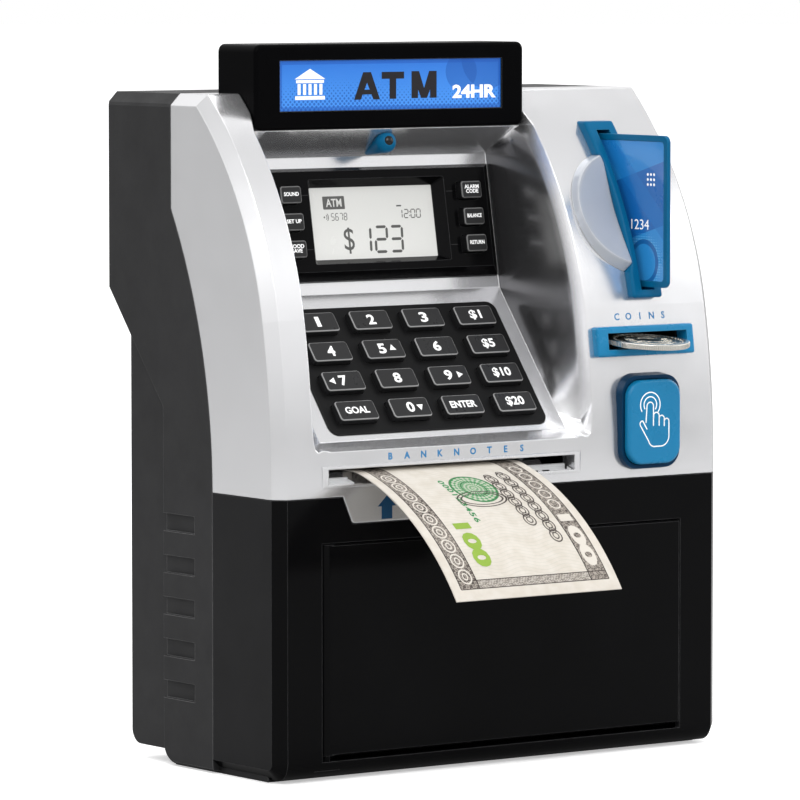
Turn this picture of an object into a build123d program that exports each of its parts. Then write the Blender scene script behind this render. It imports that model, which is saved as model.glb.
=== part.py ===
"""Toy ATM savings bank: a coin and banknote bank shaped like a small cash machine.

Millimetres. X to the right seen from the front, -Y towards the user, +Z up.
The origin is on the table, under the middle of the machine.
"""

import os
from math import asin, atan, cos, pi, radians, sin, sqrt

from build123d import *

os.makedirs("parts", exist_ok=True)

# ---------------------------------------------------------------- driving dimensions
WIDTH = 184.0            # overall width of the housing
HALF = WIDTH / 2
FRONT_Y = -44.5          # flat lower front
FLOOR_Z = 1.0            # underside of the shells, above the foot ring
SEAM_Z = 93.2            # the silver fascia stands on the black base here
TOP_Z = 223.5            # flat top of both upper shells
SEAM_Y = -7.0            # front base shell meets the rear shell
TOP_SEAM_Y = 17.0        # fascia meets the rear shell, at the top
SEAM_CORNER_Z = 185.6    # below this the side seam curves forward
SEAM_R = 190.0
WALL = 2.5
SEAM = 0.25              # visible gap between two shells
FIT = 0.1                # gap around a piece that sits in another
EDGE = 3.8               # chamfer along the outer side edges

# Front of the fascia in side view: upright, then two tangent arcs.
LOWER_ARC_Z, LOWER_ARC_R = 97.0, 300.0
UPPER_ARC_Z, UPPER_ARC_R = 151.0, 130.0

# Recess between the two pillars.
RECESS_X = -20.5         # centre line of keypad, display and sign
RECESS_HALF = 57.5       # at the pillars' front edges
RECESS_FLOOR_HALF = 50.5
RECESS_EDGE = 4.0        # depth of the bevel along the pillars' edges
LIP_Z = 107.8
SHELF_Z = 211.4          # underside of the notch that holds the sign
SIGN_FRONT_Y = -8.5
SIGN_BACK_Y = 13.0

KEYPAD_TILT = 38.8       # from upright
DISPLAY_TILT = 10.2


def tilted(y, z, tilt):
    """A plane across the machine that leans back by tilt degrees, with its outside to the front."""
    a = radians(tilt)
    return Plane(origin=(RECESS_X, y, z), x_dir=(1, 0, 0), z_dir=(0, -cos(a), sin(a)))


KEY_TOPS = tilted(-22.9, 134.2, KEYPAD_TILT)      # plane of the key faces
DISPLAY = tilted(1.9, 179.6, DISPLAY_TILT)        # plane of the display glass
FRONT = Plane(origin=(0, FRONT_Y, 0), x_dir=(1, 0, 0), z_dir=(0, -1, 0))

# ---------------------------------------------------------------- shared curves
LOWER_ARC_Y = FRONT_Y + LOWER_ARC_R
LEAN = asin((UPPER_ARC_Z - LOWER_ARC_Z) / LOWER_ARC_R)
UPPER_ARC_Y = LOWER_ARC_Y - (LOWER_ARC_R - UPPER_ARC_R) * cos(LEAN)
UPPER_CENTRE_Z = UPPER_ARC_Z - UPPER_ARC_R * sin(LEAN)


def across(x):
    """Side-view plane at the given X: local x is Y, local y is Z."""
    return Plane.YZ.offset(x)


def front_y(z, inset=0.0):
    """Y of the fascia's front at height z, or of the surface that lies inset behind it."""
    if z <= LOWER_ARC_Z:
        return FRONT_Y + inset
    if z <= UPPER_ARC_Z:
        return LOWER_ARC_Y - sqrt((LOWER_ARC_R - inset) ** 2 - (z - LOWER_ARC_Z) ** 2)
    return UPPER_ARC_Y - sqrt((UPPER_ARC_R - inset) ** 2 - (z - UPPER_CENTRE_Z) ** 2)


def front_point(z, inset=0.0):
    return (front_y(z, inset), z)


def front_arc(low, high, inset=0.0):
    """One stretch of the front curve, drawn upwards."""
    return ThreePointArc(
        front_point(low, inset), front_point((low + high) / 2, inset), front_point(high, inset)
    )


def front_curve(low, high, inset=0.0):
    """The front curve from low to high, as a line and up to two arcs."""
    stops = [low] + [z for z in (LOWER_ARC_Z, UPPER_ARC_Z) if low < z < high] + [high]
    for a, b in zip(stops, stops[1:]):
        if b <= LOWER_ARC_Z:
            Line(front_point(a, inset), front_point(b, inset))
        else:
            front_arc(a, b, inset)


def meet(p, u, q, v):
    """Where the line through p along u crosses the line through q along v."""
    t = ((q[0] - p[0]) * v[1] - (q[1] - p[1]) * v[0]) / (u[0] * v[1] - u[1] * v[0])
    return (p[0] + t * u[0], p[1] + t * u[1])


def in_side_view(plane, along, above):
    """Side-view point (Y, Z) that lies along and above the given tilted plane."""
    p = plane.from_local_coords((0, along, above))
    return (p.Y, p.Z)


def recess_floor(deeper=0.0):
    """Side view of the recess floor from the lip up to the sign, each face moved back by deeper."""
    lip = (FRONT_Y, LIP_Z)
    slope_start = in_side_view(KEY_TOPS, -28.0, -3.0)
    slope_next = in_side_view(KEY_TOPS, 0.0, -3.0)
    wall = in_side_view(DISPLAY, 0.0, -1.0)
    wall_next = in_side_view(DISPLAY, 22.7, -1.0)
    shelf_edge = (SIGN_FRONT_Y + 0.3, SHELF_Z)
    faces = [
        ((-60.0, LIP_Z), lip),
        (lip, slope_start),
        (slope_start, slope_next),
        (wall, wall_next),
        (wall_next, shelf_edge),
        (shelf_edge, (shelf_edge[0], shelf_edge[1] + 10)),
    ]
    moved = []
    for a, b in faces:
        u = (b[0] - a[0], b[1] - a[1])
        size = sqrt(u[0] ** 2 + u[1] ** 2)
        normal = (u[1] / size, -u[0] / size)
        moved.append(((a[0] + deeper * normal[0], a[1] + deeper * normal[1]), u))
    return [meet(*a, *b) for a, b in zip(moved, moved[1:])]


OUT_Y = -90.0            # well in front of the machine, for cutting tools
OUT_Z = 260.0            # well above it


def recess_section(x, inset=None):
    """The recess in side view at x: its floor, or a copy of the front curve set back by inset."""
    floor = recess_floor()
    with BuildSketch(across(x)) as section:
        with BuildLine():
            if inset is None:
                Polyline(*floor)
                first, last = floor[0], floor[-1]
            else:
                heights = [113.0, floor[2][1], floor[3][1], floor[4][1]]
                first = (FRONT_Y + min(inset, 0.0), LIP_Z)
                last = front_point(heights[-1], inset)
                Line(first, front_point(heights[0], inset))
                for low, high in zip(heights, heights[1:]):
                    front_arc(low, high, inset)
            Polyline(last, (last[0], OUT_Z), (OUT_Y, OUT_Z), (OUT_Y, LIP_Z), first)
        make_face()
    return section.sketch


# Space in front of the recess floor: a straight middle, and sides that flare out to the pillars.
with BuildPart() as recess_side:
    loft(
        [
            recess_section(RECESS_X + RECESS_FLOOR_HALF),
            recess_section(RECESS_X + RECESS_HALF - 2.0, RECESS_EDGE),
            recess_section(RECESS_X + RECESS_HALF + 1.0, -RECESS_EDGE / 2),
        ],
        ruled=True,
    )

with BuildPart() as recess:
    extrude(recess_section(RECESS_X), amount=RECESS_FLOOR_HALF, both=True)
    add(recess_side.part)
    mirror(recess_side.part, about=across(RECESS_X))

# Everything behind the fascia's front, used to trim the pieces that stand on it.
with BuildPart() as behind_front:
    with BuildSketch(across(0)):
        with BuildLine():
            front_curve(60.0, TOP_Z, -0.05)
            Polyline(front_point(TOP_Z, -0.05), (60, TOP_Z), (60, 60.0), front_point(60.0, -0.05))
        make_face()
    extrude(amount=HALF + 10, both=True)

# ---------------------------------------------------------------- upper fascia
NOTE_SLOT_X = -21.5
NOTE_FRAME = (105.9, 7.3)          # width and height of the note slot frame
NOTE_FRAME_Z = 99.7
COIN_X, COIN_Z = 59.7, 139.3       # centre of the coin slot
COIN_FRAME = (41.4, 10.0)
CARD_X = 62.1                      # middle plane of the card slot
CARD_SLOT_Z = (156.2, 209.6)
BUTTON_X, BUTTON_Z = 59.9, 112.0
POST_X = 85.0                      # the long housing screws
BASE_POST_Z, MIDDLE_POST_Z, TOP_POST_Z = 14.0, 118.0, 206.0
POST_R, PILOT_R = 3.4, 1.55
POST_END_Y = -5.0
KEYPAD_PANEL = (89.0, 50.3)
KEYPAD_PANEL_Y = -0.35
DISPLAY_HOLE = (92.6, 32.4)
ARROW_TAB = ((-66.5, SEAM_Z + 1), (-62.3, 84.3), (-34.7, 84.3), (-30.5, SEAM_Z + 1))
TAB_CORNER = 1.5

with BuildPart() as fascia_hollow:
    with BuildSketch(across(0)):
        with BuildLine():
            front_curve(SEAM_Z - 2, TOP_Z - WALL, WALL)
            Polyline(
                front_point(TOP_Z - WALL, WALL),
                (TOP_SEAM_Y + 5, TOP_Z - WALL),
                (TOP_SEAM_Y + 5, SEAM_Z - 2),
                front_point(SEAM_Z - 2, WALL),
            )
        make_face()
    extrude(amount=HALF - WALL, both=True)
    with BuildSketch(across(RECESS_X)):
        with BuildLine():
            wall_line = recess_floor(WALL)
            Polyline(
                *wall_line,
                (wall_line[-1][0], OUT_Z),
                (OUT_Y, OUT_Z),
                (OUT_Y, wall_line[0][1]),
                wall_line[0],
            )
        make_face()
    extrude(amount=RECESS_HALF + WALL, both=True, mode=Mode.SUBTRACT)
    with BuildSketch(Plane.XY.offset(SHELF_Z - WALL)):
        with Locations((RECESS_X, 0)):
            Rectangle(2 * RECESS_HALF, 2 * (SIGN_BACK_Y + WALL + 0.5))
    extrude(amount=40, mode=Mode.SUBTRACT)

with BuildPart() as upper_fascia:
    with BuildSketch(across(0)):
        with BuildLine():
            front_curve(SEAM_Z, TOP_Z)
            Polyline(front_point(TOP_Z), (TOP_SEAM_Y, TOP_Z), (TOP_SEAM_Y, SEAM_CORNER_Z))
            RadiusArc((TOP_SEAM_Y, SEAM_CORNER_Z), (SEAM_Y, SEAM_Z), -SEAM_R)
            Line((SEAM_Y, SEAM_Z), (FRONT_Y, SEAM_Z))
        make_face()
    extrude(amount=HALF, both=True)
    sides = upper_fascia.faces().filter_by(Axis.X)
    edges_ahead = sides.edges().filter_by(lambda e: e.center().Y < front_y(e.center().Z, 8.0))
    edges_on_top = sides.edges().filter_by(lambda e: e.center().Z > TOP_Z - 0.01)
    chamfer(edges_ahead + edges_on_top, EDGE)
    top_front = upper_fascia.edges().filter_by(Axis.X).filter_by(
        lambda e: e.center().Z > TOP_Z - 0.01 and e.center().Y < 5
    )
    fillet(top_front, 2.0)
    add(fascia_hollow.part, mode=Mode.SUBTRACT)
    add(recess.part, mode=Mode.SUBTRACT)
    # Notch for the sign, between the pillars.
    with BuildSketch(Plane.XY.offset(SHELF_Z)):
        with Locations((RECESS_X, (SIGN_BACK_Y + 0.4 + OUT_Y) / 2)):
            Rectangle(2 * (RECESS_HALF - 2.0), SIGN_BACK_Y + 0.4 - OUT_Y)
    extrude(amount=40, mode=Mode.SUBTRACT)
    # Openings for keypad and display.
    with BuildSketch(KEY_TOPS):
        with Locations((0, KEYPAD_PANEL_Y)):
            RectangleRounded(KEYPAD_PANEL[0] + 2 * FIT, KEYPAD_PANEL[1] + 2 * FIT, 3.6)
    extrude(amount=-8, mode=Mode.SUBTRACT)
    with BuildSketch(DISPLAY):
        Rectangle(*DISPLAY_HOLE)
    extrude(amount=-8, mode=Mode.SUBTRACT)
    # Openings in the front wall: note slot, coin slot, card slot and button stem.
    with BuildSketch(FRONT.offset(10)):
        with Locations((NOTE_SLOT_X, NOTE_FRAME_Z)):
            Rectangle(NOTE_FRAME[0] - 0.8, NOTE_FRAME[1] - 0.8)
        with Locations((COIN_X, COIN_Z)):
            Rectangle(COIN_FRAME[0] - 4.6, COIN_FRAME[1] - 1.5)
        with Locations((BUTTON_X, BUTTON_Z)):
            Circle(4.5)
    extrude(amount=-18, mode=Mode.SUBTRACT)
    with BuildSketch(Plane.XZ.offset(60)):
        with Locations((CARD_X, sum(CARD_SLOT_Z) / 2)):
            Rectangle(7.2, CARD_SLOT_Z[1] - CARD_SLOT_Z[0] + 1.6)
    extrude(amount=-62, mode=Mode.SUBTRACT)
    # Arrow tab that hangs over the base.
    with BuildSketch(FRONT):
        tab = Polygon(*ARROW_TAB, align=None)
        fillet(tab.vertices().group_by(Axis.Y)[0], TAB_CORNER)
    extrude(amount=-WALL)
    # Posts for the long screws.
    for z in (MIDDLE_POST_Z, TOP_POST_Z):
        with BuildSketch(Plane.XZ.offset(-POST_END_Y)):
            with Locations((-POST_X, z), (POST_X, z)):
                Circle(POST_R)
        extrude(until=Until.NEXT)
    with BuildSketch(Plane.XZ.offset(-POST_END_Y)):
        with Locations([(s * POST_X, z) for s in (-1, 1) for z in (MIDDLE_POST_Z, TOP_POST_Z)]):
            Circle(PILOT_R)
    extrude(amount=7, mode=Mode.SUBTRACT)
upper_fascia.part.label = "upper_fascia"
export_step(upper_fascia.part, "parts/upper_fascia.step")

# ---------------------------------------------------------------- front base shell
DOOR = (-74.0, 74.0, 8.4, 77.7)    # left, right, bottom, top
DOOR_OPENING = (-74.5, 74.5, 6.6, 78.2)
DOOR_T = 3.0
PIVOT_X, PIVOT_Y = DOOR[0] + DOOR_T, FRONT_Y + DOOR_T
PIVOT_R = 1.5
PIVOT_FIT = 0.05
FLOOR_LIP_Y = -34.0      # the front shell's own floor ends here, and the base plate starts
FRONT_ROUND = 6.0
SIDE_POSTS = ((-80.0, -28.0), (80.0, -28.0))
REAR_POSTS = ((-80.0, 12.0), (80.0, 12.0))

with BuildPart() as front_base_shell:
    with BuildSketch(across(0)):
        outline = Polygon(
            (FRONT_Y, FLOOR_Z),
            (SEAM_Y, FLOOR_Z),
            (SEAM_Y, SEAM_Z - SEAM),
            (FRONT_Y, SEAM_Z - SEAM),
            align=None,
        )
        fillet(outline.vertices().group_by(Axis.X)[0].sort_by(Axis.Y)[0], FRONT_ROUND)
    extrude(amount=HALF, both=True)
    uprights = front_base_shell.edges().filter_by(Axis.Z).group_by(Axis.Y)[0]
    chamfer(uprights, EDGE)
    with BuildSketch(across(0)):
        hollow = Polygon(
            (FRONT_Y + WALL, FLOOR_Z + WALL),
            (FLOOR_LIP_Y, FLOOR_Z + WALL),
            (FLOOR_LIP_Y, -5),
            (0, -5),
            (0, 100),
            (FRONT_Y + WALL, 100),
            align=None,
        )
        fillet(hollow.vertices().group_by(Axis.X)[0].sort_by(Axis.Y)[0], FRONT_ROUND - WALL)
    extrude(amount=HALF - WALL, both=True, mode=Mode.SUBTRACT)
    # Pivot blocks above and below the door's hinge side.
    for low, high in ((FLOOR_Z + WALL, DOOR_OPENING[2]), (DOOR_OPENING[3], DOOR_OPENING[3] + 5)):
        with BuildSketch(Plane.XY.offset(low)):
            with Locations((PIVOT_X - 1, FRONT_Y + 4.5)):
                Rectangle(10, 7)
        extrude(amount=high - low)
    # Door opening.
    with BuildSketch(FRONT.offset(1)):
        with Locations((0, (DOOR_OPENING[2] + DOOR_OPENING[3]) / 2)):
            Rectangle(DOOR_OPENING[1] - DOOR_OPENING[0], DOOR_OPENING[3] - DOOR_OPENING[2])
    extrude(amount=-12, mode=Mode.SUBTRACT)
    with BuildSketch(Plane.XY.offset(DOOR[2] - 4)):
        with Locations((PIVOT_X, PIVOT_Y)):
            Circle(PIVOT_R + PIVOT_FIT)
    extrude(amount=DOOR[3] - DOOR[2] + 6.8, mode=Mode.SUBTRACT)
    # Cut-out for the arrow tab.
    with BuildSketch(FRONT.offset(1)):
        cutout = Polygon(*ARROW_TAB, align=None)
        offset(cutout, amount=SEAM)
    extrude(amount=-5, mode=Mode.SUBTRACT)
    # Posts for the long screws, and for the base plate's screws.
    with BuildSketch(Plane.XZ.offset(-POST_END_Y)):
        with Locations((-POST_X, BASE_POST_Z), (POST_X, BASE_POST_Z)):
            Circle(POST_R)
    extrude(until=Until.NEXT)
    with BuildSketch(Plane.XZ.offset(-POST_END_Y)):
        with Locations((-POST_X, BASE_POST_Z), (POST_X, BASE_POST_Z)):
            Circle(PILOT_R)
    extrude(amount=7, mode=Mode.SUBTRACT)
    for x, y in SIDE_POSTS:
        with BuildSketch(Plane.XY.offset(4.2)):
            with Locations((x, y)):
                Circle(POST_R)
            with Locations(((x + (HALF - 1) * (1 if x > 0 else -1)) / 2, y)):
                Rectangle(HALF - 1 - abs(x), 2)
        extrude(amount=12)
        with BuildSketch(Plane.XY.offset(4.2)):
            with Locations((x, y)):
                Circle(PILOT_R)
        extrude(amount=9, mode=Mode.SUBTRACT)
front_base_shell.part.label = "front_base_shell"
export_step(front_base_shell.part, "parts/front_base_shell.step")

# ---------------------------------------------------------------- rear shell
CHEEK_Y = 22.7           # rear edge of the cheeks, below the hump
HUMP_Y = 55.0
HUMP_KNEE = (22.7, 119.4)
HUMP_LOW_Z = 157.8
BOX_HALF, BOX_Y, BOX_FLOOR_Z = 90.0, 44.3, 5.0
SIDE_WALL = 3.2
GROOVES, GROOVE_PITCH, GROOVE_HEIGHT = 5, 13.94, 5.9
GROOVE_TOP_Z, GROOVE_DEPTH, GROOVE_FRONT_Y = 78.4, 1.7, 3.7
BAY = (62.0, 47.0)                 # battery bay opening, width and height
BAY_Z = 43.5                       # middle of the bay
BAY_DEPTH = 17.8
BATTERY_DOOR = (68.0, 54.0)
BATTERY_DOOR_T = 2.0
HINGE_R = 1.3            # rounded lower edge of the battery door, round its hinge line
HINGE_Z = BAY_Z - BATTERY_DOOR[1] / 2 + HINGE_R
HINGE_Y = BOX_Y - HINGE_R
RIM_T = 2.4              # extra wall behind the rim that the battery door lies on
WELL_R = 4.2
SCREW_HEAD_R, SCREW_HOLE_R = 3.3, 1.7
SPEAKER_X, SPEAKER_Z = -45.0, 190.0

with BuildPart() as rear_shell:
    with BuildSketch(across(0)):
        with BuildLine():
            Polyline(
                (SEAM_Y + SEAM, SEAM_Z),
                (SEAM_Y + SEAM, FLOOR_Z),
                (CHEEK_Y, FLOOR_Z),
                HUMP_KNEE,
                (HUMP_Y, HUMP_LOW_Z),
                (HUMP_Y, TOP_Z),
                (TOP_SEAM_Y + SEAM, TOP_Z),
                (TOP_SEAM_Y + SEAM, SEAM_CORNER_Z),
            )
            RadiusArc((TOP_SEAM_Y + SEAM, SEAM_CORNER_Z), (SEAM_Y + SEAM, SEAM_Z), -SEAM_R)
        outline = make_face()
        fillet(outline.vertices().sort_by_distance((CHEEK_Y, FLOOR_Z))[0], 6.5)
        fillet(outline.vertices().sort_by_distance(HUMP_KNEE)[0], 26.0)
        fillet(outline.vertices().sort_by_distance((HUMP_Y, HUMP_LOW_Z))[0], 3.0)
    extrude(amount=HALF, both=True)
    on_top = rear_shell.faces().filter_by(Axis.X).edges().filter_by(
        lambda e: e.center().Z > TOP_Z - 0.01
    )
    chamfer(on_top, EDGE)
    behind = rear_shell.faces().filter_by(Axis.X).edges().filter_by(
        lambda e: e.center().Y > CHEEK_Y - 0.1 or e.center().Z < FLOOR_Z + 0.1
    )
    chamfer(behind, 0.6)
    with BuildSketch(across(0)):
        box = Polygon(
            (15, BOX_FLOOR_Z), (BOX_Y, BOX_FLOOR_Z), (BOX_Y, 148), (15, 148), align=None
        )
        fillet(box.vertices().sort_by_distance((BOX_Y, BOX_FLOOR_Z))[0], 5.0)
    extrude(amount=BOX_HALF, both=True)
    # Grooves for the fingers, open at the rear edge of each cheek.
    for i in range(GROOVES):
        with BuildSketch(across(0)):
            with Locations(
                ((GROOVE_FRONT_Y + 40) / 2, GROOVE_TOP_Z - i * GROOVE_PITCH + GROOVE_HEIGHT / 2)
            ):
                Rectangle(40 - GROOVE_FRONT_Y, GROOVE_HEIGHT)
        groove = extrude(amount=HALF + 1, both=True, mode=Mode.PRIVATE)
        with BuildSketch(across(0)):
            with Locations((20, GROOVE_TOP_Z - i * GROOVE_PITCH)):
                Rectangle(60, 30)
        core = extrude(amount=HALF - GROOVE_DEPTH, both=True, mode=Mode.PRIVATE)
        add(groove - core, mode=Mode.SUBTRACT)
    # Hollow between the cheeks, in the hump and in the box.
    with BuildSketch(across(0)):
        Polygon(
            (-20, -5),
            (CHEEK_Y - WALL, -5),
            (CHEEK_Y - WALL, HUMP_KNEE[1] + 1),
            (HUMP_Y - WALL, HUMP_LOW_Z + 1),
            (HUMP_Y - WALL, TOP_Z - WALL),
            (-20, TOP_Z - WALL),
            align=None,
        )
    extrude(amount=HALF - SIDE_WALL, both=True, mode=Mode.SUBTRACT)
    with BuildSketch(across(0)):
        with Locations(((BOX_Y - WALL + 10) / 2, (145 + BOX_FLOOR_Z + WALL) / 2)):
            Rectangle(BOX_Y - WALL - 10, 145 - BOX_FLOOR_Z - WALL)
    extrude(amount=BOX_HALF - WALL, both=True, mode=Mode.SUBTRACT)
    # Battery bay in the rear wall, with a recess for its door.
    with BuildSketch(Plane.XZ.offset(-BOX_Y + BAY_DEPTH + 1.8)):
        with Locations((0, BAY_Z)):
            Rectangle(BAY[0] + 3.6, BAY[1] + 3.6)
    extrude(amount=-BAY_DEPTH)
    with BuildSketch(Plane.XZ.offset(-BOX_Y + WALL - 0.2)):
        with Locations((0, BAY_Z)):
            Rectangle(BATTERY_DOOR[0] + 4, BATTERY_DOOR[1] + 4)
    extrude(amount=RIM_T)
    with BuildSketch(Plane.XZ.offset(-BOX_Y)):
        with Locations((0, BAY_Z)):
            Rectangle(*BAY)
    extrude(amount=BAY_DEPTH, mode=Mode.SUBTRACT)
    with BuildSketch(Plane.XZ.offset(-BOX_Y)):
        with Locations((0, BAY_Z)):
            Rectangle(BATTERY_DOOR[0] + 0.6, BATTERY_DOOR[1] + 0.6)
    extrude(amount=BATTERY_DOOR_T + 0.2, mode=Mode.SUBTRACT)
    with BuildSketch(across(-BATTERY_DOOR[0] / 2 - 0.3)):
        with Locations((HINGE_Y, HINGE_Z)):
            Circle(HINGE_R + 0.3)
    extrude(amount=BATTERY_DOOR[0] + 0.6, mode=Mode.SUBTRACT)
    # Wells for the long screws.
    for z in (BASE_POST_Z, MIDDLE_POST_Z, TOP_POST_Z):
        depth = (HUMP_Y if z == TOP_POST_Z else BOX_Y) - POST_END_Y - FIT
        rear = Plane.XZ.offset(POST_END_Y * -1 - FIT)
        with BuildSketch(rear):
            with Locations((-POST_X, z), (POST_X, z)):
                Circle(WELL_R)
        extrude(amount=-depth + 1)
        with BuildSketch(rear.offset(-3)):
            with Locations((-POST_X, z), (POST_X, z)):
                Circle(SCREW_HEAD_R)
        extrude(amount=-depth - 5, mode=Mode.SUBTRACT)
        with BuildSketch(rear.offset(1)):
            with Locations((-POST_X, z), (POST_X, z)):
                Circle(SCREW_HOLE_R)
        extrude(amount=-6, mode=Mode.SUBTRACT)
    # Posts for the base plate's rear screws.
    for x, y in REAR_POSTS:
        with BuildSketch(Plane.XY.offset(4.2)):
            with Locations((x, y)):
                Circle(POST_R)
            with Locations(((x + (HALF - 2) * (1 if x > 0 else -1)) / 2, y)):
                Rectangle(HALF - 2 - abs(x), 2)
        extrude(amount=12)
        with BuildSketch(Plane.XY.offset(4.2)):
            with Locations((x, y)):
                Circle(PILOT_R)
        extrude(amount=9, mode=Mode.SUBTRACT)
    # Speaker grille.
    with BuildSketch(Plane.XZ.offset(-HUMP_Y)):
        with Locations((SPEAKER_X, SPEAKER_Z)):
            with GridLocations(5.0, 5.0, 5, 5):
                Circle(1.3)
    extrude(amount=WALL + 1, mode=Mode.SUBTRACT)
rear_shell.part.label = "rear_shell"
export_step(rear_shell.part, "parts/rear_shell.step")

# ---------------------------------------------------------------- base plate, feet and screws
PLATE = (-HALF + SIDE_WALL + FIT, FLOOR_LIP_Y + FIT, HALF - SIDE_WALL - FIT, CHEEK_Y - WALL - FIT)
PLATE_T = 4.0
FOOT_RIM = 5.0
FOOT_RECESS = 1.2
FOOT_R = 6.0
FEET = (130.0, 30.0)
SCREW_R = 1.5

with BuildPart() as base_plate:
    centre_y = (PLATE[1] + PLATE[3]) / 2
    size_x, size_y = PLATE[2] - PLATE[0], PLATE[3] - PLATE[1]
    with BuildSketch(Plane.XY):
        with Locations((0, centre_y)):
            Rectangle(size_x, size_y)
    extrude(amount=PLATE_T)
    with BuildSketch(Plane.XY):
        with Locations((0, centre_y)):
            RectangleRounded(size_x - 2 * FOOT_RIM, size_y - 2 * FOOT_RIM, 3)
    extrude(amount=FOOT_RECESS, mode=Mode.SUBTRACT)
    with BuildSketch(Plane.XY):
        with Locations(*SIDE_POSTS, *REAR_POSTS):
            Circle(SCREW_HOLE_R)
    extrude(amount=PLATE_T, mode=Mode.SUBTRACT)
    with BuildSketch(Plane.XY):
        with Locations(*SIDE_POSTS, *REAR_POSTS):
            Circle(SCREW_HEAD_R)
    extrude(amount=2.4, mode=Mode.SUBTRACT)
base_plate.part.label = "base_plate"
export_step(base_plate.part, "parts/base_plate.step")

with BuildPart() as rubber_feet:
    with BuildSketch(Plane.XY):
        with Locations((0, centre_y)):
            with GridLocations(*FEET, 2, 2):
                Circle(FOOT_R)
    extrude(amount=FOOT_RECESS)
rubber_feet.part.label = "rubber_feet"
export_step(rubber_feet.part, "parts/rubber_feet.step")


LONG_SEATS = [
    Plane(origin=(x, POST_END_Y + FIT + 3.05, z), z_dir=(0, 1, 0))
    for x in (-POST_X, POST_X)
    for z in (BASE_POST_Z, MIDDLE_POST_Z, TOP_POST_Z)
]
PLATE_SEATS = [Plane(origin=(x, y, 2.35), z_dir=(0, 0, -1)) for x, y in SIDE_POSTS + REAR_POSTS]

with BuildPart() as housing_screws:
    for seat in LONG_SEATS + PLATE_SEATS:
        with BuildSketch(seat):
            Circle(SCREW_R)
        extrude(amount=-9.0)
        with BuildSketch(seat):
            Circle(SCREW_R * 1.9)
        extrude(amount=1.8)
        with BuildSketch(seat.offset(0.8)):
            Rectangle(3.6, 0.7)
            Rectangle(0.7, 3.6)
        extrude(amount=2.0, mode=Mode.SUBTRACT)
housing_screws.part.label = "housing_screws"
export_step(housing_screws.part, "parts/housing_screws.step")

# ---------------------------------------------------------------- vault door and latch
KEEPER_Z = 43.0
KEEPER_X = (67.5, 73.5)
BOLT = (3.6, 6.0)                  # depth and height of the bolt
BOLT_Y = -38.0
BOLT_X = (74.9, 80.0)
PLUNGER_R = 1.8

with BuildPart() as vault_door:
    with BuildSketch(FRONT):
        with Locations(((PIVOT_X + DOOR[1]) / 2, (DOOR[2] + DOOR[3]) / 2)):
            Rectangle(DOOR[1] - PIVOT_X, DOOR[3] - DOOR[2])
    extrude(amount=-DOOR_T)
    chamfer(vault_door.faces().sort_by(Axis.Y)[0].edges().filter_by(Axis.X), 0.5)
    with BuildSketch(Plane.XY.offset(DOOR[2])):
        with Locations((PIVOT_X, PIVOT_Y)):
            Circle(DOOR_T)
    extrude(amount=DOOR[3] - DOOR[2])
    with BuildSketch(Plane.XY.offset(DOOR[2] - 3.6)):
        with Locations((PIVOT_X, PIVOT_Y)):
            Circle(PIVOT_R)
    extrude(amount=DOOR[3] - DOOR[2] + 6)
    # Stiffening frame behind the panel.
    with BuildSketch(Plane.XZ.offset(-PIVOT_Y)):
        with Locations((1, (DOOR[2] + DOOR[3]) / 2)):
            Rectangle(126, 60)
            Rectangle(122, 56, mode=Mode.SUBTRACT)
            Rectangle(2, 60)
            Rectangle(126, 2)
    extrude(amount=-4)
    # Keeper for the latch bolt: two cheeks and a bridge behind the bolt.
    with BuildSketch(Plane.XZ.offset(-PIVOT_Y)):
        with Locations((sum(KEEPER_X) / 2, KEEPER_Z)):
            Rectangle(KEEPER_X[1] - KEEPER_X[0], BOLT[1] + 6)
            Rectangle(KEEPER_X[1] - KEEPER_X[0], BOLT[1] + 1.6, mode=Mode.SUBTRACT)
    extrude(amount=-7.4)
    with BuildSketch(Plane.XZ.offset(-PIVOT_Y - 5.4)):
        with Locations((sum(KEEPER_X) / 2, KEEPER_Z)):
            Rectangle(KEEPER_X[1] - KEEPER_X[0], BOLT[1] + 6)
    extrude(amount=-2)
vault_door.part.label = "vault_door"
export_step(vault_door.part, "parts/vault_door.step")

with BuildPart() as latch_bolt:
    with BuildSketch(across(BOLT_X[0])):
        with Locations((BOLT_Y, KEEPER_Z)):
            Rectangle(*BOLT)
    extrude(amount=BOLT_X[1] - BOLT_X[0])
    chamfer(latch_bolt.edges().filter_by(Axis.Z).group_by(Axis.X)[0], 0.8)
    with BuildSketch(across(BOLT_X[1])):
        with Locations((BOLT_Y, KEEPER_Z)):
            Circle(PLUNGER_R)
    extrude(amount=8)
latch_bolt.part.label = "latch_bolt"
export_step(latch_bolt.part, "parts/latch_bolt.step")

with BuildPart() as latch_solenoid:
    with BuildSketch(across(BOLT_X[1] + 0.6)):
        with Locations((BOLT_Y, KEEPER_Z)):
            RectangleRounded(7.4, 12.0, 0.8)
    extrude(amount=HALF - WALL - BOLT_X[1] - 0.7)
    with BuildSketch(across(BOLT_X[1])):
        with Locations((BOLT_Y, KEEPER_Z)):
            Circle(PLUNGER_R + PIVOT_FIT)
    extrude(amount=20, mode=Mode.SUBTRACT)
latch_solenoid.part.label = "latch_solenoid"
export_step(latch_solenoid.part, "parts/latch_solenoid.step")

# ---------------------------------------------------------------- batteries
CELL_R, CELL_LENGTH, CELL_PITCH = 7.1, 48.5, 15.0
CELL_Y = BOX_Y - BATTERY_DOOR_T - 0.6 - CELL_R
CELLS = [(BAY_Z + (i - 1) * CELL_PITCH, 1 if i % 2 == 0 else -1) for i in range(3)]
SPRING_TURNS = 3
SPRING_X = CELL_LENGTH / 2
SPRING_LENGTH = BAY[0] / 2 - SPRING_X - 1.1

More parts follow.
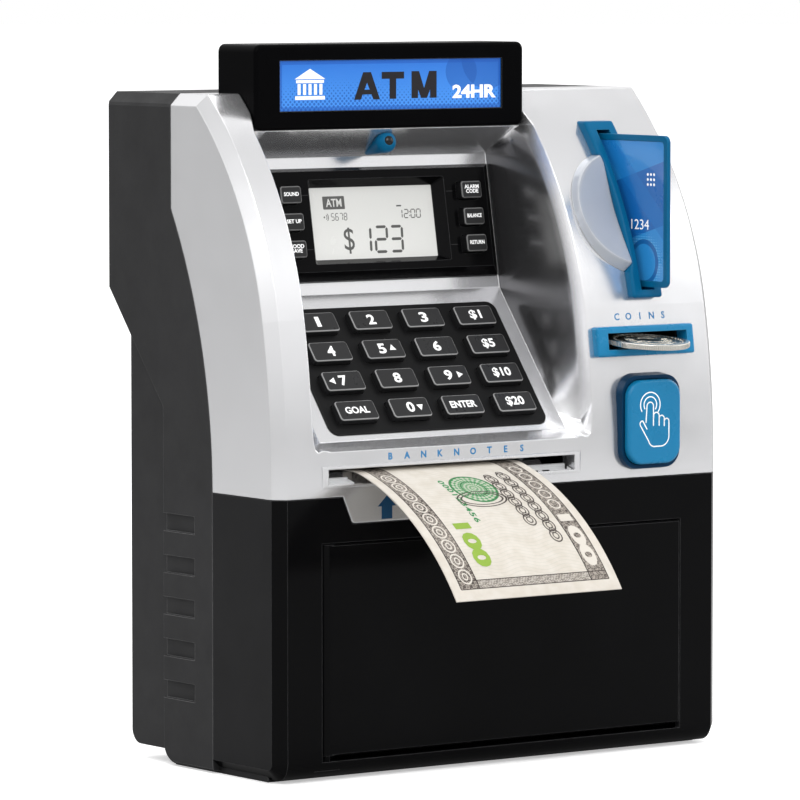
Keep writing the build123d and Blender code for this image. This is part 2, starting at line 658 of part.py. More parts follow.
with BuildPart() as batteries:
    for z, way in CELLS:
        with BuildSketch(across(-CELL_LENGTH / 2)):
            with Locations((CELL_Y, z)):
                Circle(CELL_R)
        extrude(amount=CELL_LENGTH)
        with BuildSketch(across(way * CELL_LENGTH / 2)):
            with Locations((CELL_Y, z)):
                Circle(2.7)
        extrude(amount=way * 1.4)
batteries.part.label = "batteries"
export_step(batteries.part, "parts/batteries.step")

with BuildPart() as battery_contacts:
    for side in (-1, 1):
        with BuildSketch(across(side * (BAY[0] / 2 - FIT))):
            with Locations(*[(CELL_Y, z) for z, way in CELLS]):
                Rectangle(9, 11)
        extrude(amount=-side * 0.5)
    for z, way in CELLS:
        with BuildLine() as coil:
            Helix(
                pitch=SPRING_LENGTH / SPRING_TURNS,
                height=SPRING_LENGTH,
                radius=3.2,
                center=(-way * (SPRING_X + 0.5), CELL_Y, z),
                direction=(-way, 0, 0),
            )
        with BuildSketch(coil.line ^ 0):
            Circle(0.4)
        sweep(path=coil.line)
battery_contacts.part.label = "battery_contacts"
export_step(battery_contacts.part, "parts/battery_contacts.step")

with BuildPart() as battery_door:
    with BuildSketch(Plane.XZ.offset(-BOX_Y)):
        with Locations((0, BAY_Z)):
            Rectangle(*BATTERY_DOOR)
    extrude(amount=BATTERY_DOOR_T)
    fillet(battery_door.edges().filter_by(Axis.X).sort_by_distance((0, BOX_Y, 0))[0], HINGE_R)
    with BuildSketch(Plane.XZ.offset(-BOX_Y)):
        with Locations((0, BAY_Z + BATTERY_DOOR[1] / 2 - 6)):
            SlotOverall(16, 5)
    extrude(amount=0.8, mode=Mode.SUBTRACT)
battery_door.part.label = "battery_door"
export_step(battery_door.part, "parts/battery_door.step")

# ---------------------------------------------------------------- keypad
KEY = (15.55, 7.6)
KEY_PITCH = (21.65, 11.89)
KEY_ROWS = KEY_COLUMNS = 4
KEY_NAMES = (
    ("1", "2", "3", "add_1"),
    ("4", "5", "6", "add_5"),
    ("7", "8", "9", "add_10"),
    ("goal", "0", "enter", "add_20"),
)
PANEL_TOP = -2.5                   # panel face, below the key faces
KEY_BOTTOM = -6.2
KEY_FIT = 0.3
MAT_TOP, MAT_T = -7.2, 1.2
BOARD_T = 1.6

with BuildPart() as keypad_bezel:
    with BuildSketch(KEY_TOPS.offset(PANEL_TOP)):
        with Locations((0, KEYPAD_PANEL_Y)):
            RectangleRounded(*KEYPAD_PANEL, 3.5)
    extrude(amount=-3.1)
    with BuildSketch(KEY_TOPS.offset(PANEL_TOP - 3.1)):
        with Locations((0, KEYPAD_PANEL_Y)):
            RectangleRounded(KEYPAD_PANEL[0] + 4, KEYPAD_PANEL[1] + 3, 3.5)
    extrude(amount=-1.4)
    with BuildSketch(KEY_TOPS):
        with GridLocations(*KEY_PITCH, KEY_COLUMNS, KEY_ROWS):
            RectangleRounded(KEY[0] + 2 * KEY_FIT, KEY[1] + 2 * KEY_FIT, 1.5)
    extrude(amount=-10, mode=Mode.SUBTRACT)
keypad_bezel.part.label = "keypad_bezel"
export_step(keypad_bezel.part, "parts/keypad_bezel.step")

with BuildPart() as keypad_mat:
    with BuildSketch(KEY_TOPS.offset(MAT_TOP)):
        with Locations((0, KEYPAD_PANEL_Y)):
            Rectangle(KEYPAD_PANEL[0], KEYPAD_PANEL[1] - 1)
    extrude(amount=-MAT_T)
keypad_mat.part.label = "keypad_mat"
export_step(keypad_mat.part, "parts/keypad_mat.step")

with BuildPart() as keypad_board:
    with BuildSketch(KEY_TOPS.offset(MAT_TOP - MAT_T - FIT)):
        with Locations((0, KEYPAD_PANEL_Y)):
            Rectangle(KEYPAD_PANEL[0], KEYPAD_PANEL[1] - 1)
    extrude(amount=-BOARD_T)
keypad_board.part.label = "keypad_board"
export_step(keypad_board.part, "parts/keypad_board.step")

for row, names in enumerate(KEY_NAMES):
    for column, name in enumerate(names):
        spot = (
            (column - (KEY_COLUMNS - 1) / 2) * KEY_PITCH[0],
            ((KEY_ROWS - 1) / 2 - row) * KEY_PITCH[1],
        )
        with BuildPart() as key:
            with BuildSketch(KEY_TOPS.offset(KEY_BOTTOM)):
                with Locations(spot):
                    RectangleRounded(*KEY, 1.2)
            extrude(amount=-KEY_BOTTOM)
            face = key.faces().sort_by(Axis(KEY_TOPS.origin, KEY_TOPS.z_dir))[-1]
            fillet(face.edges(), 0.55)
        key.part.label = f"key_{name}"
        export_step(key.part, f"parts/key_{name}.step")

# ---------------------------------------------------------------- display
BEZEL_BACK, BEZEL_FACE = -0.9, 4.0
GLASS = (50.2, 24.2)
WINDOW_BACK, WINDOW_FACE = -0.85, 0.15
SOFT_KEY = (8.4, 5.8)
SOFT_KEY_X = 37.2
SOFT_KEY_Y = (9.3, 0.2, -8.9)
SOFT_KEY_TOP, SOFT_KEY_BOTTOM = 7.0, -0.8
SOFT_KEY_SPOTS = [(x, y) for x in (-SOFT_KEY_X, SOFT_KEY_X) for y in SOFT_KEY_Y]
SOFT_KEY_NAMES = [f"{side}_{n}" for side in ("left", "right") for n in (1, 2, 3)]

with BuildPart() as lcd_bezel:
    with BuildSketch(DISPLAY.offset(BEZEL_BACK)):
        with Locations((0, -0.3)):
            Rectangle(99.0, 38.6)
    with BuildSketch(DISPLAY.offset(BEZEL_BACK + 1.6)):
        with Locations((0, -0.3)):
            Rectangle(98.4, 38.0)
    with BuildSketch(DISPLAY.offset(BEZEL_FACE)):
        with Locations((0, 0.4)):
            Rectangle(91.0, 33.8)
    loft(ruled=True)
    with BuildSketch(DISPLAY.offset(BEZEL_FACE + 0.01)):
        with Locations((0, 0.25)):
            RectangleRounded(56.0, 28.5, 0.8)
    with BuildSketch(DISPLAY.offset(WINDOW_FACE)):
        RectangleRounded(*GLASS, 0.4)
    loft(mode=Mode.SUBTRACT)
    with BuildSketch(DISPLAY.offset(BEZEL_BACK)):
        RectangleRounded(GLASS[0] + 4, GLASS[1] + 3, 1.0)
    extrude(amount=WINDOW_FACE + 0.05 - BEZEL_BACK, mode=Mode.SUBTRACT)
    with BuildSketch(DISPLAY.offset(BEZEL_BACK)):
        with Locations(*SOFT_KEY_SPOTS):
            RectangleRounded(SOFT_KEY[0] + 2 * KEY_FIT, SOFT_KEY[1] + 2 * KEY_FIT, 1.2)
    extrude(amount=10, mode=Mode.SUBTRACT)
lcd_bezel.part.label = "lcd_bezel"
export_step(lcd_bezel.part, "parts/lcd_bezel.step")

with BuildPart() as lcd_window:
    with BuildSketch(DISPLAY.offset(WINDOW_BACK)):
        RectangleRounded(GLASS[0] + 3.8, GLASS[1] + 2.8, 0.9)
    extrude(amount=WINDOW_FACE - WINDOW_BACK)
lcd_window.part.label = "lcd_window"
export_step(lcd_window.part, "parts/lcd_window.step")

with BuildPart() as lcd_module:
    with BuildSketch(DISPLAY.offset(WINDOW_BACK - FIT)):
        Rectangle(GLASS[0] + 4, GLASS[1] + 6)
    extrude(amount=-3.4)
    with BuildSketch(DISPLAY.offset(-4.2)):
        Rectangle(92.0, 31.6)
    extrude(amount=-BOARD_T)
lcd_module.part.label = "lcd_module"
export_step(lcd_module.part, "parts/lcd_module.step")

for name, spot in zip(SOFT_KEY_NAMES, SOFT_KEY_SPOTS):
    with BuildPart() as key:
        with BuildSketch(DISPLAY.offset(SOFT_KEY_BOTTOM)):
            with Locations(spot):
                RectangleRounded(*SOFT_KEY, 1.0)
        extrude(amount=SOFT_KEY_TOP - SOFT_KEY_BOTTOM)
        face = key.faces().sort_by(Axis(DISPLAY.origin, DISPLAY.z_dir))[-1]
        fillet(face.edges(), 0.6)
    key.part.label = f"soft_key_{name}"
    export_step(key.part, f"parts/soft_key_{name}.step")

# ---------------------------------------------------------------- sign and camera hood
SIGN_HALF = 55.2
SIGN_Z = (211.6, 239.8)
SIGN_WINDOW = (91.3, 16.8)
SIGN_WINDOW_X, SIGN_WINDOW_Z = -20.2, 226.0
SIGN_WINDOW_DEPTH = 1.5
HOOD_NOSE = (RECESS_X, -4.9, 206.7)
HOOD_TAIL = (RECESS_X, 5.2, 203.4)
HOOD_R, TAIL_R = 3.6, 1.3
LENS_WAY = Vector(-0.2, -0.96, 0.2).normalized()
LENS_R, LENS_DEPTH = 1.6, 0.7

with BuildPart() as sign_housing:
    with BuildSketch(Plane.XZ.offset(-SIGN_FRONT_Y)):
        with Locations((RECESS_X, sum(SIGN_Z) / 2)):
            Rectangle(2 * SIGN_HALF, SIGN_Z[1] - SIGN_Z[0])
    extrude(amount=SIGN_FRONT_Y - SIGN_BACK_Y)
    fillet(sign_housing.edges().filter_by(Axis.Y), 2.6)
    fillet(sign_housing.faces().sort_by(Axis.Y)[0].edges(), 1.2)
    with BuildSketch(Plane.XZ.offset(-SIGN_FRONT_Y)):
        with Locations((SIGN_WINDOW_X, SIGN_WINDOW_Z)):
            Rectangle(*SIGN_WINDOW)
    extrude(amount=-SIGN_WINDOW_DEPTH, mode=Mode.SUBTRACT)
    with BuildSketch(Plane.XZ.offset(-SIGN_BACK_Y)):
        with Locations((RECESS_X, sum(SIGN_Z) / 2)):
            Rectangle(2 * SIGN_HALF - 2 * WALL, SIGN_Z[1] - SIGN_Z[0] - 2 * WALL)
    extrude(amount=SIGN_BACK_Y - SIGN_FRONT_Y - SIGN_WINDOW_DEPTH - WALL, mode=Mode.SUBTRACT)
sign_housing.part.label = "sign_housing"
export_step(sign_housing.part, "parts/sign_housing.step")

with BuildPart() as sign_panel:
    with BuildSketch(Plane.XZ.offset(-SIGN_FRONT_Y - SIGN_WINDOW_DEPTH + 0.05)):
        with Locations((SIGN_WINDOW_X, SIGN_WINDOW_Z)):
            Rectangle(SIGN_WINDOW[0] - 2 * FIT, SIGN_WINDOW[1] - 2 * FIT)
    extrude(amount=0.9)
sign_panel.part.label = "sign_panel"
export_step(sign_panel.part, "parts/sign_panel.step")

with BuildPart() as camera_hood:
    with Locations(HOOD_NOSE):
        Sphere(HOOD_R)
    with Locations(HOOD_TAIL):
        Sphere(TAIL_R)
    axis = Vector(*HOOD_TAIL) - Vector(*HOOD_NOSE)
    reach = axis.length
    squeeze = (HOOD_R - TAIL_R) / reach
    flank = sqrt(1 - squeeze ** 2)
    cone_foot = Vector(*HOOD_NOSE) + axis * (HOOD_R * squeeze / reach)
    with Locations(Plane(origin=cone_foot, z_dir=axis)):
        Cone(
            HOOD_R * flank,
            TAIL_R * flank,
            reach - squeeze * (HOOD_R - TAIL_R),
            align=(Align.CENTER, Align.CENTER, Align.MIN),
        )
    with Locations(Plane(origin=Vector(*HOOD_NOSE) + LENS_WAY * HOOD_R, z_dir=LENS_WAY)):
        Cylinder(LENS_R, 2 * LENS_DEPTH, mode=Mode.SUBTRACT)
    with BuildSketch(across(RECESS_X)):
        with BuildLine():
            clear = recess_floor(-FIT)
            Polyline(*clear, (60, SHELF_Z), (60, LIP_Z), clear[0])
        make_face()
    extrude(amount=10, both=True, mode=Mode.SUBTRACT)
camera_hood.part.label = "camera_hood"
export_step(camera_hood.part, "parts/camera_hood.step")

# ---------------------------------------------------------------- note slot and its drive
NOTE_MOUTH = (101.0, 5.0)
NOTE_Z = 100.9                     # middle of the note where it lies flat
NOTE_T = 0.3
NOTE_X = (-59.5, 7.5)
NOTE_BACK_Y, NOTE_BEND_Y = 18.0, -39.3
ROLLER_Y = -20.0
FEED_Z, FEED_R = 95.1, 5.6
PINCH_Z, PINCH_R = 106.1, 5.0
SHAFT_R = 1.5
BEARING_R = 1.55
CHEEK_X = (-70.0, 20.0)            # middle of each bearing cheek
MODULE = 0.6
FEED_TEETH, PINION_TEETH = 28, 14
PINION_Y = ROLLER_Y + MODULE * (FEED_TEETH + PINION_TEETH) / 2
GEAR_X = 24.0
BACKLASH = 0.12
MOTOR_SHAFT_R, MOTOR_BORE_R = 1.0, 1.05
MOTOR_PLATE_X = (26.8, 28.6)
MOTOR_LENGTH = 14.5

with BuildPart() as note_slot_guide:
    with BuildSketch(FRONT.offset(0.2)):
        with Locations((NOTE_SLOT_X, NOTE_FRAME_Z)):
            Rectangle(*NOTE_FRAME)
    extrude(amount=-0.2)
    with BuildSketch(FRONT):
        with Locations((NOTE_SLOT_X, NOTE_FRAME_Z)):
            Rectangle(NOTE_FRAME[0] - 1.0, NOTE_FRAME[1] - 1.0)
    extrude(amount=-6.5)
    with BuildSketch(FRONT.offset(0.5)):
        with Locations((NOTE_SLOT_X, NOTE_FRAME_Z)):
            Rectangle(*NOTE_MOUTH)
    extrude(amount=-10, mode=Mode.SUBTRACT)
    # Ramp and guide plate under the note.
    with BuildSketch(across(CHEEK_X[0] - 1)):
        Polygon(
            (-39, 96.6),
            (-39, 97.2),
            (-35.5, 100.4),
            (20, 100.4),
            (20, 99.2),
            (-34.9, 99.2),
            (-37.5, 96.6),
            align=None,
        )
    extrude(amount=CHEEK_X[1] - CHEEK_X[0] + 2)
    with BuildSketch(Plane.XY.offset(NOTE_Z)):
        with Locations((sum(CHEEK_X) / 2, ROLLER_Y)):
            Rectangle(82, 13)
    extrude(amount=-5, mode=Mode.SUBTRACT)
    # Bearing cheeks.
    with BuildSketch(*[across(x - 1) for x in CHEEK_X]):
        cheek = Polygon((-27, 88), (-27, 109.5), (-13.5, 109.5), (-2, 99), (-2, 88), align=None)
        fillet(cheek.vertices(), 1.5)
    extrude(amount=2)
    # Motor bracket on the right-hand cheek.
    with BuildSketch(Plane.XY.offset(84.6)):
        with Locations(((19 + MOTOR_PLATE_X[1]) / 2, PINION_Y + 1)):
            Rectangle(MOTOR_PLATE_X[1] - 19, 13)
    extrude(amount=2)
    with BuildSketch(across(CHEEK_X[1] - 1)):
        Polygon((-12.9, 84.6), (-12.9, 90), (0.1, 90), (0.1, 84.6), align=None)
    extrude(amount=2)
    with BuildSketch(across(MOTOR_PLATE_X[0])):
        with Locations((PINION_Y + 1, 93.0)):
            RectangleRounded(13, 16.8, 1.0)
        with Locations((PINION_Y, FEED_Z)):
            Circle(2.6, mode=Mode.SUBTRACT)
    extrude(amount=MOTOR_PLATE_X[1] - MOTOR_PLATE_X[0])
    with BuildSketch(across(CHEEK_X[0] - 3)):
        with Locations((ROLLER_Y, FEED_Z), (ROLLER_Y, PINCH_Z)):
            Circle(BEARING_R)
    extrude(amount=CHEEK_X[1] - CHEEK_X[0] + 6, mode=Mode.SUBTRACT)
note_slot_guide.part.label = "note_slot_guide"
export_step(note_slot_guide.part, "parts/note_slot_guide.step")


def note_face(lift):
    """Side view points of one face of the drooping note, lift above its middle."""
    lines = [(NOTE_BACK_Y, NOTE_Z + lift), (NOTE_BEND_Y, NOTE_Z + lift)]
    near = (NOTE_BEND_Y, NOTE_Z - 20.0)
    turn = radians(15)
    far = (near[0] + 75.0 * sin(turn), near[1] - 75.0 * cos(turn))
    for centre, radius, steps in ((near, 20.0 + lift, (7.5, 15)), (far, 95.0 + lift, (35, 55))):
        for step in steps:
            a = radians(step)
            lines.append((centre[0] - radius * sin(a), centre[1] + radius * cos(a)))
    return lines


with BuildPart() as play_note:
    with BuildSketch(across(NOTE_X[0])):
        with BuildLine():
            over = note_face(NOTE_T / 2)
            under = note_face(-NOTE_T / 2)
            for face in (over, under):
                Line(face[0], face[1])
                ThreePointArc(face[1], face[2], face[3])
                ThreePointArc(face[3], face[4], face[5])
            Line(over[0], under[0])
            Line(over[-1], under[-1])
        make_face()
    extrude(amount=NOTE_X[1] - NOTE_X[0])
play_note.part.label = "play_note"
export_step(play_note.part, "parts/play_note.step")


def involute(base_r, r):
    """Angle swept by the involute of a base circle when it reaches radius r."""
    a = sqrt(max((r / base_r) ** 2 - 1, 0.0))
    return a - atan(a)


def gear(teeth, first):
    """Outline of a spur gear, with the middle of one tooth at the angle first."""
    pitch_r = MODULE * teeth / 2
    base_r = pitch_r * cos(radians(20))
    outer_r = pitch_r + 0.8 * MODULE
    root_r = pitch_r - 1.2 * MODULE
    half = pi / (2 * teeth) - BACKLASH / (4 * pitch_r) + involute(base_r, pitch_r)
    flank = [max(base_r, root_r) + (outer_r - max(base_r, root_r)) * i / 5 for i in range(6)]
    corners = []
    for n in range(teeth):
        middle = first + 2 * pi * n / teeth
        side = [(r, half - involute(base_r, r)) for r in flank]
        tooth = [(root_r, -side[0][1])] + [(r, -a) for r, a in side]
        tooth += [(r, a) for r, a in reversed(side)] + [(root_r, side[0][1])]
        corners += [(r * cos(middle + a), r * sin(middle + a)) for r, a in tooth]
    with BuildSketch() as outline:
        Polygon(*corners, align=None)
    return outline.sketch


with BuildPart() as feed_roller:
    with BuildSketch(across(-72.5)):
        with Locations((ROLLER_Y, FEED_Z)):
            Circle(SHAFT_R)
    extrude(amount=99)
    for x in (-60, -40, -20, 0):
        with BuildSketch(across(x - 3)):
            with Locations((ROLLER_Y, FEED_Z)):
                Circle(FEED_R)
        extrude(amount=12)
    with BuildSketch(across(-64)):
        with Locations((ROLLER_Y, FEED_Z)):
            Circle(3.0)
    extrude(amount=77)
    with BuildSketch(across(GEAR_X - 2)):
        with Locations((ROLLER_Y, FEED_Z)):
            add(gear(FEED_TEETH, 0.0))
    extrude(amount=4)
feed_roller.part.label = "feed_roller"
export_step(feed_roller.part, "parts/feed_roller.step")

with BuildPart() as pinch_roller:
    with BuildSketch(across(-72.5)):
        with Locations((ROLLER_Y, PINCH_Z)):
            Circle(SHAFT_R)
    extrude(amount=94)
    for x in (-60, -40, -20, 0):
        with BuildSketch(across(x - 3)):
            with Locations((ROLLER_Y, PINCH_Z)):
                Circle(PINCH_R)
        extrude(amount=12)
pinch_roller.part.label = "pinch_roller"
export_step(pinch_roller.part, "parts/pinch_roller.step")

with BuildPart() as motor_pinion:
    with BuildSketch(across(GEAR_X - 1.8)):
        with Locations((PINION_Y, FEED_Z)):
            add(gear(PINION_TEETH, pi / PINION_TEETH))
    extrude(amount=3.6)
    with BuildSketch(across(GEAR_X)):
        with Locations((PINION_Y, FEED_Z)):
            Circle(MOTOR_SHAFT_R)
    extrude(amount=8)
motor_pinion.part.label = "motor_pinion"
export_step(motor_pinion.part, "parts/motor_pinion.step")

with BuildPart() as feed_motor:
    with BuildSketch(across(MOTOR_PLATE_X[1] + 0.1)):
        with Locations((PINION_Y, FEED_Z)):
            RectangleRounded(12.0, 10.0, 3.5)
    extrude(amount=MOTOR_LENGTH)
    with BuildSketch(across(MOTOR_PLATE_X[0])):
        with Locations((PINION_Y, FEED_Z)):
            Circle(2.5)
    extrude(amount=3)
    with BuildSketch(across(MOTOR_PLATE_X[0])):
        with Locations((PINION_Y, FEED_Z)):
            Circle(MOTOR_BORE_R)
    extrude(amount=6, mode=Mode.SUBTRACT)
feed_motor.part.label = "feed_motor"
export_step(feed_motor.part, "parts/feed_motor.step")

# ---------------------------------------------------------------- coin slot, coin and chute
COIN_MOUTH_X = (43.4, 77.2)
COIN_MOUTH_Z = (136.6, 142.2)
COIN_R, COIN_T, COIN_TILT = 14.0, 1.9, 5.0
COIN_PLACE = (59.8, -45.2, 138.8)
CHUTE_X = (44.0, 78.6)
CHUTE_T = 1.4
CHUTE_Z = (86.0, 146.0)
CHUTE_Y = (-36.0, -6.0)
CHUTE_TRIM_Z = (129.0, 150.0)      # the chute's mouth follows the front wall between these

with BuildPart() as coin_slot_bezel:
    low, high = COIN_Z - COIN_FRAME[1] / 2, COIN_Z + COIN_FRAME[1] / 2
    with BuildSketch(across(COIN_X)):
        with BuildLine():
            front_curve(low, high, -3.0)
            front_curve(low, high, -0.05)
            Line(front_point(low, -3.0), front_point(low, -0.05))
            Line(front_point(high, -3.0), front_point(high, -0.05))
        make_face()
    extrude(amount=COIN_FRAME[0] / 2, both=True)
    rim = coin_slot_bezel.faces().sort_by(Axis.Y)[0].edges()
    corners = coin_slot_bezel.edges().filter_by(Axis.Y)
    fillet(rim + corners, 0.9)
    with BuildSketch(across(COIN_X - (COIN_FRAME[0] - 4.8) / 2)):
        with BuildLine():
            front_curve(low + 0.85, high - 0.85, -0.5)
            front_curve(low + 0.85, high - 0.85, WALL - 0.1)
            Line(front_point(low + 0.85, -0.5), front_point(low + 0.85, WALL - 0.1))
            Line(front_point(high - 0.85, -0.5), front_point(high - 0.85, WALL - 0.1))
        make_face()
    extrude(amount=COIN_FRAME[0] - 4.8)
    with BuildSketch(FRONT.offset(10)):
        with Locations((sum(COIN_MOUTH_X) / 2, sum(COIN_MOUTH_Z) / 2)):
            Rectangle(COIN_MOUTH_X[1] - COIN_MOUTH_X[0], COIN_MOUTH_Z[1] - COIN_MOUTH_Z[0])
    extrude(amount=-20, mode=Mode.SUBTRACT)
coin_slot_bezel.part.label = "coin_slot_bezel"
export_step(coin_slot_bezel.part, "parts/coin_slot_bezel.step")

with BuildPart() as coin:
    flat = Plane(
        origin=COIN_PLACE, x_dir=(1, 0, 0), z_dir=(0, -sin(radians(COIN_TILT)), cos(radians(COIN_TILT)))
    )
    with BuildSketch(flat.offset(-COIN_T / 2)):
        Circle(COIN_R)
    extrude(amount=COIN_T)
    chamfer(coin.edges(), 0.2)
    for way in (-1, 1):
        with BuildSketch(flat.offset(way * COIN_T / 2)):
            Circle(COIN_R - 1.6)
        extrude(amount=-way * 0.25, mode=Mode.SUBTRACT)
coin.part.label = "coin"
export_step(coin.part, "parts/coin.step")

with BuildPart() as coin_chute:
    with BuildSketch(across(CHUTE_X[0])):
        Polygon(
            (CHUTE_Y[0], CHUTE_Z[0]),
            (CHUTE_Y[0], 133.0),
            (-38.0, 135.0),
            (-38.0, CHUTE_Z[1]),
            (CHUTE_Y[1] - 12, CHUTE_Z[1]),
            (CHUTE_Y[1], CHUTE_Z[1] - 12),
            (CHUTE_Y[1], CHUTE_Z[0]),
            align=None,
        )
    extrude(amount=CHUTE_X[1] - CHUTE_X[0])
    with BuildSketch(across(CHUTE_X[0] + CHUTE_T)):
        Polygon(
            (CHUTE_Y[0] + CHUTE_T, CHUTE_Z[0] - 1),
            (CHUTE_Y[0] + CHUTE_T, 135.2),
            (-42.0, 136.2),
            (-42.0, CHUTE_Z[1] - CHUTE_T),
            (CHUTE_Y[1] - 12.6, CHUTE_Z[1] - CHUTE_T),
            (CHUTE_Y[1] - CHUTE_T, CHUTE_Z[1] - 12.6),
            (CHUTE_Y[1] - CHUTE_T, CHUTE_Z[0] - 1),
            align=None,
        )
    extrude(amount=CHUTE_X[1] - CHUTE_X[0] - 2 * CHUTE_T, mode=Mode.SUBTRACT)
    with BuildSketch(across(0)):
        with BuildLine():
            front_curve(*CHUTE_TRIM_Z, WALL)
            Polyline(
                front_point(CHUTE_TRIM_Z[1], WALL),
                (OUT_Y, CHUTE_TRIM_Z[1]),
                (OUT_Y, CHUTE_TRIM_Z[0]),
                front_point(CHUTE_TRIM_Z[0], WALL),
            )
        make_face()
    extrude(amount=HALF, mode=Mode.SUBTRACT)
coin_chute.part.label = "coin_chute"
export_step(coin_chute.part, "parts/coin_chute.step")

# ---------------------------------------------------------------- card slot, halo, reader, card
CARD_FRAME_HALF = 6.2    # half width of the frame's ends
CARD_RAIL_HALF = 5.3     # half width of the frame between its ends
CARD_FRAME_Z = (153.5, 212.5)
CARD_RAIL_Z = (165.0, 198.6)
RAIL_SLOPE = 3.0         # height over which the frame widens to its ends
CARD_PROUD = 3.5
CARD_Z = (157.2, 208.4)
CARD_Y = (-53.2, 26.8)
CARD_T = 1.4
CARD_RIM = 2.0
HALO_X, HALO_Z = 61.6, 182.5
HALO_R, HALO_BASE_R = 20.2, 22.6
HALO_INNER_R, HALO_FLOOR_R = 19.2, 4.0
HALO_PROUD, HALO_FLOOR = 2.5, 0.9
READER_HALF = 4.6


def behind_band(low, high, near, far):
    """Side view of the band between two insets of the front curve."""
    with BuildSketch() as band:
        with BuildLine():
            front_curve(low, high, near)
            front_curve(low, high, far)
            Line(front_point(low, near), front_point(low, far))
            Line(front_point(high, near), front_point(high, far))
        make_face()
    return band.sketch


def card_outline():
    """Front view of the card slot's frame: narrow in the middle, wider at both ends."""
    low, high = CARD_FRAME_Z
    side = [
        (CARD_FRAME_HALF, low),
        (CARD_FRAME_HALF, CARD_RAIL_Z[0] - RAIL_SLOPE),
        (CARD_RAIL_HALF, CARD_RAIL_Z[0]),
        (CARD_RAIL_HALF, CARD_RAIL_Z[1]),
        (CARD_FRAME_HALF, CARD_RAIL_Z[1] + RAIL_SLOPE),
        (CARD_FRAME_HALF, high),
    ]
    left = [(-x, z) for x, z in reversed(side)]
    with BuildSketch() as outline:
        with Locations((CARD_X, 0)):
            Polygon(*side, *left, align=None)
    return outline.sketch


with BuildPart() as card_slot_bezel:
    with BuildSketch(Plane.XZ.offset(70)):
        add(card_outline())
    extrude(amount=-90)
    with BuildSketch(across(CARD_X)):
        add(behind_band(*CARD_FRAME_Z, -CARD_PROUD, -0.05))
    extrude(amount=CARD_FRAME_HALF + 1, both=True, mode=Mode.INTERSECT)
    rim = card_slot_bezel.edges().filter_by(
        lambda e: e.center().Y < front_y(e.center().Z, -CARD_PROUD + 0.4)
    )
    corners = card_slot_bezel.edges().filter_by(Axis.Y).group_by(Axis.Z)
    fillet(rim + corners[0] + corners[-1], 1.0)
    with BuildSketch(across(CARD_X)):
        add(behind_band(CARD_SLOT_Z[0] - 0.7, CARD_SLOT_Z[1] + 0.7, -1.0, 6.0))
    extrude(amount=3.5, both=True)
    with BuildSketch(Plane.XZ.offset(60)):
        with Locations((CARD_X, sum(CARD_SLOT_Z) / 2)):
            Rectangle(5.6, CARD_SLOT_Z[1] - CARD_SLOT_Z[0])
    extrude(amount=-70, mode=Mode.SUBTRACT)
card_slot_bezel.part.label = "card_slot_bezel"
export_step(card_slot_bezel.part, "parts/card_slot_bezel.step")

with BuildPart() as card_halo:
    lean = asin((HALO_Z - UPPER_CENTRE_Z) / UPPER_ARC_R)
    disc = Plane(
        origin=(HALO_X, front_y(HALO_Z), HALO_Z), x_dir=(1, 0, 0), z_dir=(0, -cos(lean), sin(lean))
    )
    with BuildSketch(disc.offset(-3)):
        Circle(HALO_BASE_R)
    with BuildSketch(disc.offset(HALO_PROUD - 0.5)):
        Circle(HALO_R + 0.4)
    with BuildSketch(disc.offset(HALO_PROUD)):
        Circle(HALO_R)
    loft(ruled=True)
    # Dished face inside the raised rim.
    with BuildSketch(disc.offset(HALO_FLOOR)):
        Circle(HALO_FLOOR_R)
    with BuildSketch(disc.offset(HALO_PROUD + 0.01)):
        Circle(HALO_INNER_R)
    loft(mode=Mode.SUBTRACT)
    add(behind_front.part, mode=Mode.SUBTRACT)
    # Only the half on the left of the card is there, and it stops at the frame's outline.
    with BuildSketch(Plane.XZ.offset(80)):
        offset(card_outline(), amount=FIT)
        with Locations((CARD_X + HALO_BASE_R, HALO_Z)):
            Rectangle(2 * HALO_BASE_R, 80)
    extrude(amount=-90, mode=Mode.SUBTRACT)
card_halo.part.label = "card_halo"
export_step(card_halo.part, "parts/card_halo.step")

with BuildPart() as card_reader:
    with BuildSketch(across(CARD_X)):
        with BuildLine():
            front_curve(153.0, 212.0, 6.2)
            Polyline(front_point(212.0, 6.2), (38.0, 212.0), (38.0, 153.0), front_point(153.0, 6.2))
        make_face()
    extrude(amount=READER_HALF, both=True)
    with BuildSketch(Plane.XZ.offset(60)):
        with Locations((CARD_X, sum(CARD_Z) / 2)):
            Rectangle(2.2, CARD_Z[1] - CARD_Z[0] + 1.0)
    extrude(amount=-97.4, mode=Mode.SUBTRACT)
card_reader.part.label = "card_reader"
export_step(card_reader.part, "parts/card_reader.step")

with BuildPart() as bank_card:
    with BuildSketch(across(CARD_X)):
        with Locations((sum(CARD_Y) / 2, sum(CARD_Z) / 2)):
            RectangleRounded(CARD_Y[1] - CARD_Y[0], CARD_Z[1] - CARD_Z[0], 2.5)
    extrude(amount=CARD_T / 2, both=True)
    for way in (-1, 1):
        with BuildSketch(across(CARD_X + way * CARD_T / 2)):
            with Locations((sum(CARD_Y) / 2, sum(CARD_Z) / 2)):
                RectangleRounded(
                    CARD_Y[1] - CARD_Y[0] - 2 * CARD_RIM, CARD_Z[1] - CARD_Z[0] - 2 * CARD_RIM, 1.5
                )
        extrude(amount=-way * 0.2, mode=Mode.SUBTRACT)
bank_card.part.label = "bank_card"
export_step(bank_card.part, "parts/bank_card.step")

# ---------------------------------------------------------------- touch button
BUTTON_BASE = (25.4, 32.9)
BUTTON_RIM = (24.6, 31.4)
BUTTON_RIM_Y = -46.8
BUTTON_POCKET = (22.8, 29.0)
BUTTON_FLOOR_Y = -45.2
BUTTON = (22.3, 28.5)
BUTTON_FACE_Y, BUTTON_BACK_Y = -49.1, -46.6
STEM_R, STEM_END_Y = 3.0, -39.5

